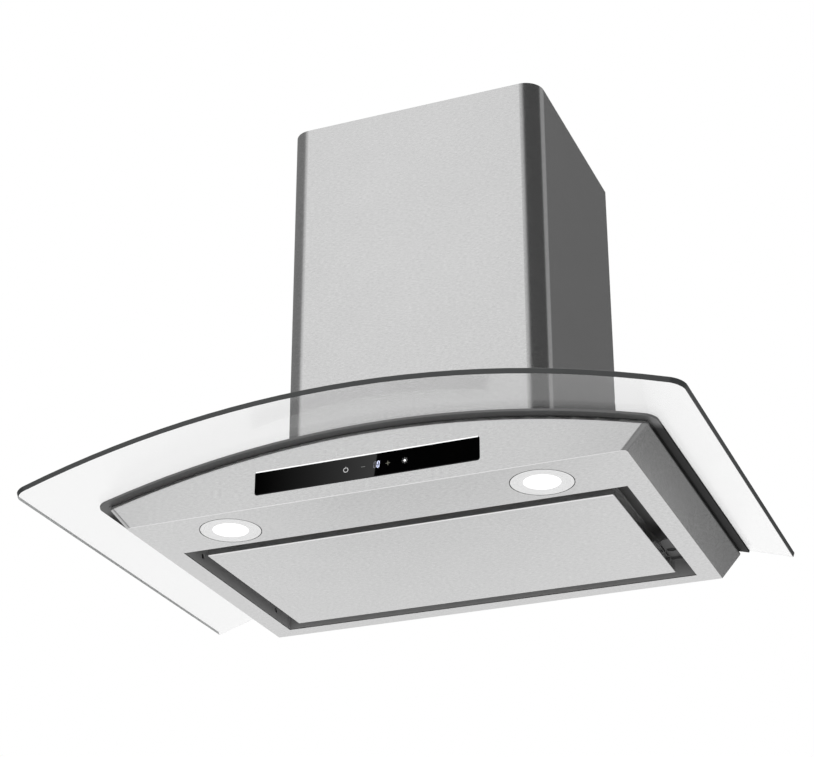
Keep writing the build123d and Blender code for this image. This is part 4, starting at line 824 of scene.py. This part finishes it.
rim_low, rim_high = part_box("lamp_rims")
rim_radius = (rim_high.y - rim_low.y) / 2
rim_y = (rim_high.y + rim_low.y) / 2
rim_x = rim_high.x - rim_radius
seal_width, seal_bevel, seal_bevel_height = 0.0008, 0.0003, 0.0004
rim_edge = rim_radius - seal_width
flange = 0.001
outer_groove, inner_groove = 0.00035, 0.0003
lip_radius, lens_radius, wall_radius, wall_height = 0.0200, 0.0207, 0.0221, 0.0032
neck_inside, neck_outside, neck_height = 0.0290, 0.0305, 0.009
rim_profile = [
    # the flange's edge and its two grooves
    (rim_edge, flange), (rim_edge, 0.0), (0.0306, 0.0), (0.0303, outer_groove),
    (0.0296, outer_groove), (0.0293, 0.0), (0.0266, 0.0), (0.0263, inner_groove),
    (0.0257, inner_groove), (0.0254, 0.0),
    # the slope, the lip over the lens and the wall round it
    (0.0236, 0.00005), (0.0224, 0.0003), (lip_radius, 0.0004), (lip_radius, 0.00055),
    (lens_radius, 0.00055), (lens_radius, wall_height), (wall_radius, wall_height),
    (wall_radius, flange),
    # the neck that goes up through the sheet
    (neck_inside, flange), (neck_inside, neck_height), (neck_outside, neck_height),
    (neck_outside, flange),
]
# The seal's black ring is also painted shade for the gap round the rim.
shadow_ring_profile = [
    (rim_radius, flange), (rim_radius, seal_bevel_height), (rim_radius - seal_bevel, 0.0),
    (rim_edge, 0.0), (rim_edge, flange),
]
for side_name, side in (("left", -1), ("right", 1)):
    lamp_rim = turned("lamp_rim_" + side_name, side * rim_x, rim_y, rim_profile, white_paint)
    lamp_shadow_ring = turned("lamp_shadow_seal_" + side_name, side * rim_x, rim_y, shadow_ring_profile, black_rubber)
    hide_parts("lamp_rims")


# Lamp lenses. Frosted discs set back in the rims, so that the diodes behind show as one even
# light. They are lit, and are the brightest places on the hood.
frost_size = 0.002        # real frosting is too fine to show, so it is drawn coarser
frosted_lens, tree = new_material("frosted_lamp_lens")
place = add_node(tree, "ShaderNodeTexCoord", {}, {})
frost = add_node(
    tree, "ShaderNodeTexNoise", {},
    {"Vector": place.outputs["Object"], "Scale": 1 / frost_size, "Detail": 1.0},
)
frost_colour = add_node(
    tree, "ShaderNodeMix", {"data_type": "RGBA"},
    {"Factor": frost.outputs["Fac"], 6: linear("#FAFAFA"), 7: linear("#FFFFFF")},
)
lens = add_node(
    tree, "ShaderNodeBsdfPrincipled", {},
    {
        "Base Color": frost_colour.outputs[2],
        "Roughness": 0.5,
        "Emission Color": linear("#FFFFFF"),
        "Emission Strength": 0.8,
    },
)
add_node(tree, "ShaderNodeOutputMaterial", {}, {"Surface": lens.outputs[0]})
dress(frosted_lens, "lamp_lenses")


# Lamp boards and housings. The diodes sit on circuit boards under a green solder mask, paler over
# the copper tracks, in finned housings of mill-finish aluminium.
track_size, track_edge = 0.004, 0.4    # fields of copper about 4 mm apart, and where one ends
circuit_board, tree = new_material("circuit_board_solder_mask")
place = add_node(tree, "ShaderNodeTexCoord", {}, {})
tracks = add_node(
    tree, "ShaderNodeTexVoronoi", {"feature": "F1", "distance": "CHEBYCHEV"},
    {"Vector": place.outputs["Object"], "Scale": 1 / track_size},
)
track = add_node(
    tree, "ShaderNodeMath", {"operation": "GREATER_THAN"},
    {0: tracks.outputs["Distance"], 1: track_edge},
)
mask_colour = add_node(
    tree, "ShaderNodeMix", {"data_type": "RGBA"},
    {"Factor": track.outputs[0], 6: linear("#1F4A2C"), 7: linear("#2C6A3F")},
)
board = add_node(
    tree, "ShaderNodeBsdfPrincipled", {}, {"Base Color": mask_colour.outputs[2], "Roughness": 0.3}
)
add_node(tree, "ShaderNodeOutputMaterial", {}, {"Surface": board.outputs[0]})
dress(circuit_board, "lamp_boards")
dress(mill_aluminium, "lamp_housings")


# Lamp driver and leads. The driver is a box of white polycarbonate, moulded, satin with a faint
# grain, and the leads have a white sheath, which looks the same.
shell_size = 0.001        # real mould grain is about 0.1 mm, so it is drawn coarser
white_plastic, tree = new_material("white_moulded_polycarbonate")
place = add_node(tree, "ShaderNodeTexCoord", {}, {})
shell_grain = add_node(
    tree, "ShaderNodeTexNoise", {},
    {"Vector": place.outputs["Object"], "Scale": 1 / shell_size, "Detail": 1.0},
)
shell_colour = add_node(
    tree, "ShaderNodeMix", {"data_type": "RGBA"},
    {"Factor": shell_grain.outputs["Fac"], 6: linear("#DCDCDA"), 7: linear("#E6E6E4")},
)
shell = add_node(
    tree, "ShaderNodeBsdfPrincipled", {},
    {"Base Color": shell_colour.outputs[2], "Roughness": 0.45, "IOR": 1.58},
)
add_node(tree, "ShaderNodeOutputMaterial", {}, {"Surface": shell.outputs[0]})
dress(white_plastic, "led_driver", "lamp_leads")


# Touch strip. A pane of tempered glass, printed black on its back, let into the body's front. Its
# face is polished, so it mirrors the room darkly, and light diodes behind it show the marks.
print_cloud = 0.010       # the print's black wanders over about 10 mm
touch_black, tree = new_material("black_printed_touch_glass")
place = add_node(tree, "ShaderNodeTexCoord", {}, {})
print_mottle = add_node(
    tree, "ShaderNodeTexNoise", {},
    {"Vector": place.outputs["Object"], "Scale": 1 / print_cloud, "Detail": 1.0},
)
print_colour = add_node(
    tree, "ShaderNodeMix", {"data_type": "RGBA"},
    {"Factor": print_mottle.outputs["Fac"], 6: linear("#020202"), 7: linear("#040404")},
)
touch = add_node(
    tree, "ShaderNodeBsdfPrincipled", {},
    {"Base Color": print_colour.outputs[2], "Roughness": 0.01, "IOR": 1.5},
)
add_node(tree, "ShaderNodeOutputMaterial", {}, {"Surface": touch.outputs[0]})
dress(touch_black, "touch_glass")

touch_low, touch_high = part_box("touch_glass")
mark_face = touch_low.y
mark_depth = 0.0001
light_spread = 0.001      # a diode lights its mark unevenly, over about 1 mm


def lit_mark(name, outlines, dim_colour, full_colour, strength):
    """A lit mark on the touch glass, a thin solid from outlines of x and z in millimetres."""
    light, tree = new_material(name + "_light")
    place = add_node(tree, "ShaderNodeTexCoord", {}, {})
    spread = add_node(
        tree, "ShaderNodeTexNoise", {},
        {"Vector": place.outputs["Object"], "Scale": 1 / light_spread, "Detail": 1.0},
    )
    diode = add_node(
        tree, "ShaderNodeMix", {"data_type": "RGBA"},
        {"Factor": spread.outputs["Fac"], 6: linear(dim_colour), 7: linear(full_colour)},
    )
    mark_print = add_node(
        tree, "ShaderNodeBsdfPrincipled", {},
        {
            "Base Color": linear("#101010"),
            "Roughness": 0.3,
            "Emission Color": diode.outputs[2],
            "Emission Strength": strength,
        },
    )
    add_node(tree, "ShaderNodeOutputMaterial", {}, {"Surface": mark_print.outputs[0]})
    points, faces = [], []
    for outline in outlines:
        start = len(points)
        count = len(outline)
        for y in (mark_face - mark_depth, mark_face + mark_depth):
            points += [(x / 1000, y, z / 1000) for x, z in outline]
        faces.append([start + i for i in range(count)])
        faces.append([start + count + i for i in reversed(range(count))])
        for i in range(count):
            j = (i + 1) % count
            faces.append([start + j, start + i, start + count + i, start + count + j])
    mark = new_mesh(name, points, faces, light)
    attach(mark, "hood")


def bar(x, z, length, width, turn):
    """A straight bar's outline, turned about its middle."""
    along_x, along_z = math.cos(turn), math.sin(turn)
    return [
        (
            x + i * length / 2 * along_x + j * width / 2 * -along_z,
            z + i * length / 2 * along_z + j * width / 2 * along_x,
        )
        for i, j in square
    ]


# Power: a ring that is open at the top, with a short stem in the opening.
power_x, power_z = -22.0, 27.6
ring_inner, ring_outer, ring_steps = 2.2, 2.9, 20
ring_start, ring_arc = 110, 320
stem_rise, stem_length, stem_width = 2.4, 2.2, 0.6
power_ring = []
for i in range(ring_steps):
    start = math.radians(ring_start + ring_arc * i / ring_steps)
    end = math.radians(ring_start + ring_arc * (i + 1) / ring_steps)
    power_ring.append([
        (power_x + radius * math.cos(turn), power_z + radius * math.sin(turn))
        for radius, turn in (
            (ring_inner, start), (ring_inner, end), (ring_outer, end), (ring_outer, start)
        )
    ])
power_ring.append(bar(power_x, power_z + stem_rise, stem_length, stem_width, math.pi / 2))
lit_mark("touch_mark_power", power_ring, "#D2D2D2", "#F0F0F0", 0.85)

# Minus and plus. The plus is a small square with four arms.
minus_x, minus_z, minus_length, minus_line = -1.9, 28.1, 4.8, 0.5
minus_bar = bar(minus_x, minus_z, minus_length, minus_line, 0)
lit_mark("touch_mark_minus", [minus_bar], "#909090", "#A6A6A6", 0.6)

plus_x, plus_z, plus_arm, plus_line = 26.7, 27.9, 2.3, 0.4
plus_bars = [bar(plus_x, plus_z, plus_line, plus_line, 0)]
for i, j in ((-1, 0), (1, 0), (0, -1), (0, 1)):
    arm_x = plus_x + i * plus_line / 2 + i * plus_arm / 2
    arm_z = plus_z + j * plus_line / 2 + j * plus_arm / 2
    plus_bars.append(bar(arm_x, arm_z, plus_arm, plus_line, math.pi / 2 if j else 0))
lit_mark("touch_mark_plus", plus_bars, "#A0A08E", "#BDBDA9", 0.6)

# Lamp: a bright round dot with eight dimmer rays.
lamp_x, lamp_z, dot_radius, dot_steps = 46.0, 27.8, 1.25, 12
ray_count, ray_middle, ray_length, ray_line = 8, 2.65, 1.7, 0.35
lamp_dot = []
for i in range(dot_steps):
    turn = math.radians(360 * i / dot_steps)
    lamp_dot.append((lamp_x + dot_radius * math.cos(turn), lamp_z + dot_radius * math.sin(turn)))
lamp_rays = []
for i in range(ray_count):
    turn = math.radians(360 * i / ray_count)
    ray_x = lamp_x + ray_middle * math.cos(turn)
    ray_z = lamp_z + ray_middle * math.sin(turn)
    lamp_rays.append(bar(ray_x, ray_z, ray_length, ray_line, turn))
lit_mark("touch_mark_lamp", [lamp_dot], "#F4F4F4", "#FFFFFF", 1.6)
lit_mark("touch_mark_lamp_rays", lamp_rays, "#A8A8A8", "#C4C4C4", 0.7)

# Display: two seven-segment digits that both show a nought, the left one dim.
digit_z, digit_rise, digit_half, digit_lean = 28.3, 1.75, 1.1, math.radians(83)
upright_length, upright_line = 2.9, 0.75
level_length, level_line = 1.5, 0.7


def nought(x):
    """The six lit strokes of a seven-segment 0, slanted as on such displays."""
    slant = 1 / math.tan(digit_lean)
    strokes = []
    for rise in (digit_rise, -digit_rise):
        for half in (-digit_half, digit_half):
            stroke_x = x + half + rise * slant
            strokes.append(bar(stroke_x, digit_z + rise, upright_length, upright_line, digit_lean))
    for rise in (2 * digit_rise, -2 * digit_rise):
        strokes.append(bar(x + rise * slant, digit_z + rise, level_length, level_line, 0))
    return strokes


tens_x, ones_x = 11.7, 15.5
lit_mark("touch_display_tens", nought(tens_x), "#80808A", "#9A9AA4", 0.6)
lit_mark("touch_display_ones", nought(ones_x), "#C0CCFF", "#F2F5FF", 1.7)

# The pane's upper rim is ground flat. Its thin white line is a painted highlight, white and glowing
# a little, broken a little where the wheel bit less.
rim_grinding = 0.012      # the wheel's marks change over about 12 mm
rim_highlight_material, tree = new_material("glass_rim_painted_highlight")
place = add_node(tree, "ShaderNodeTexCoord", {}, {})
grinding_marks = add_node(
    tree, "ShaderNodeTexNoise", {},
    {"Vector": place.outputs["Object"], "Scale": 1 / rim_grinding, "Detail": 1.0},
)
rim_highlight_colour = add_node(
    tree, "ShaderNodeMix", {"data_type": "RGBA"},
    {"Factor": grinding_marks.outputs["Fac"], 6: linear("#E2E2E2"), 7: linear("#FFFFFF")},
)
rim_highlight_glow = add_node(
    tree, "ShaderNodeBsdfPrincipled", {},
    {
        "Base Color": rim_highlight_colour.outputs[2],
        "Roughness": 0.3,
        "Emission Color": rim_highlight_colour.outputs[2],
        "Emission Strength": 0.4,
    },
)
add_node(tree, "ShaderNodeOutputMaterial", {}, {"Surface": rim_highlight_glow.outputs[0]})

ground_height, ground_inset, ground_bevel, ground_back = 0.0014, 0.0012, 0.0001, 0.0007
ground_profile = [
    (mark_face + ground_back, touch_high.z + ground_bevel),
    (mark_face - mark_depth, touch_high.z - ground_bevel),
    (mark_face - mark_depth, touch_high.z - ground_height),
    (mark_face + ground_back, touch_high.z - ground_height),
]
ground_ends = (touch_low.x + ground_inset, touch_high.x - ground_inset)
ground_points = [(x, y, z) for x in ground_ends for y, z in ground_profile]
ground_faces = [(0, 1, 2, 3), (7, 6, 5, 4)]
for i in range(4):
    j = (i + 1) % 4
    ground_faces.append((i, 4 + i, 4 + j, j))
touch_rim = new_mesh("touch_glass_rim_highlight", ground_points, ground_faces, rim_highlight_material)
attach(touch_rim, "hood")

# A card far in front stands where the pane mirrors it. Left of a slanted split it is graded from
# black to white, and right of it all black, so that the pane shows one grey half and one black
# half, as glossy glass does in a studio.
card_y = -5.0
card_low, card_high = 2.272, 2.388
card_left, card_right = -2.56, -1.585
split_low, split_high = -2.036, -2.020
card_curve = 1.6
card_black, tree = new_material("black_studio_card")
card_shade = add_node(
    tree, "ShaderNodeEmission", {}, {"Color": linear("#000000"), "Strength": 1.0}
)
add_node(tree, "ShaderNodeOutputMaterial", {}, {"Surface": card_shade.outputs[0]})
card_grey, tree = new_material("graded_studio_card")
place = add_node(tree, "ShaderNodeTexCoord", {}, {})
card_place = add_node(tree, "ShaderNodeSeparateXYZ", {}, {0: place.outputs["Object"]})
card_fade = add_node(
    tree, "ShaderNodeMapRange", {},
    {"Value": card_place.outputs["X"], "From Min": card_left, "From Max": split_high},
)
card_grade = add_node(
    tree, "ShaderNodeMath", {"operation": "POWER"}, {0: card_fade.outputs["Result"], 1: card_curve}
)
card_glow = add_node(
    tree, "ShaderNodeEmission", {},
    {"Color": linear("#FFFFFF"), "Strength": card_grade.outputs[0]},
)
add_node(tree, "ShaderNodeOutputMaterial", {}, {"Surface": card_glow.outputs[0]})
card_points = [
    (card_left, card_y, card_low), (split_low, card_y, card_low), (split_high, card_y, card_high),
    (card_left, card_y, card_high), (card_right, card_y, card_low), (card_right, card_y, card_high),
]
card = new_mesh("studio_card", card_points, [(0, 1, 2, 3), (1, 4, 5, 2)], card_grey, card_black)
card.data.polygons[1].material_index = 1
show_in_mirrors_only(card)


# Touch electronics. A carrier of black ABS holds the pane, with the green touch board behind it.
# A flat white ribbon runs back to the control box, which is black ABS too and has a lid.
dress(black_plastic, "touch_carrier", "control_box", "control_box_lid")
dress(circuit_board, "touch_board")
dress(white_plastic, "touch_ribbon")


# Blower. A flanged frame stands on the top plate and carries the box, held by plated screws, and
# the volute with its two sides is in the box. All are folded or rolled from galvanised sheet.
dress(galvanised, "blower_frame", "blower_box")
dress(galvanised, "volute", "volute_side_left", "volute_side_right")
dress(zinc_plate, "box_screws")


# Motor and wheel. The motor has an aluminium body, and a three-armed galvanised bracket carries
# it on rubber mounts inside the wheel. The galvanised wheel sits on its plated shaft, behind a
# plated nut.
dress(mill_aluminium, "motor_body")
dress(galvanised, "motor_bracket", "blower_wheel")
dress(black_rubber, "motor_mounts")
dress(zinc_plate, "motor_shaft", "wheel_nut")


# Outlet. A collar moulded from black ABS, screwed on the box, and in it two half-round
# back-draught flaps of the same plastic on one plated spindle.
dress(black_plastic, "duct_collar", "damper_flap_front", "damper_flap_rear")
dress(zinc_plate, "collar_screws", "damper_spindle")


# Supply. The capacitor and the terminal box stand on the blower box, in shells of white moulded
# plastic, and a cable gland of black plastic is screwed into the terminal box.
dress(white_plastic, "capacitor", "terminal_box")
dress(black_plastic, "cable_gland")


# Wall hardware. A folded galvanised rail is screwed to the wall, a hanger on the box hooks over
# its lip, and moulded rubber bumpers keep the canopy off the wall.
dress(galvanised, "wall_bracket", "box_hanger")
dress(black_rubber, "wall_bumpers")


# Chimney. The cover is folded from one brushed sheet with round front corners, and galvanised
# brackets fix it to the blower box. The extension slides up inside it to the ceiling, where a
# galvanised strap fixes it to the wall.
dress(brushed_steel, "chimney_cover", "chimney_extension")
dress(galvanised, "cover_brackets", "extension_strap")
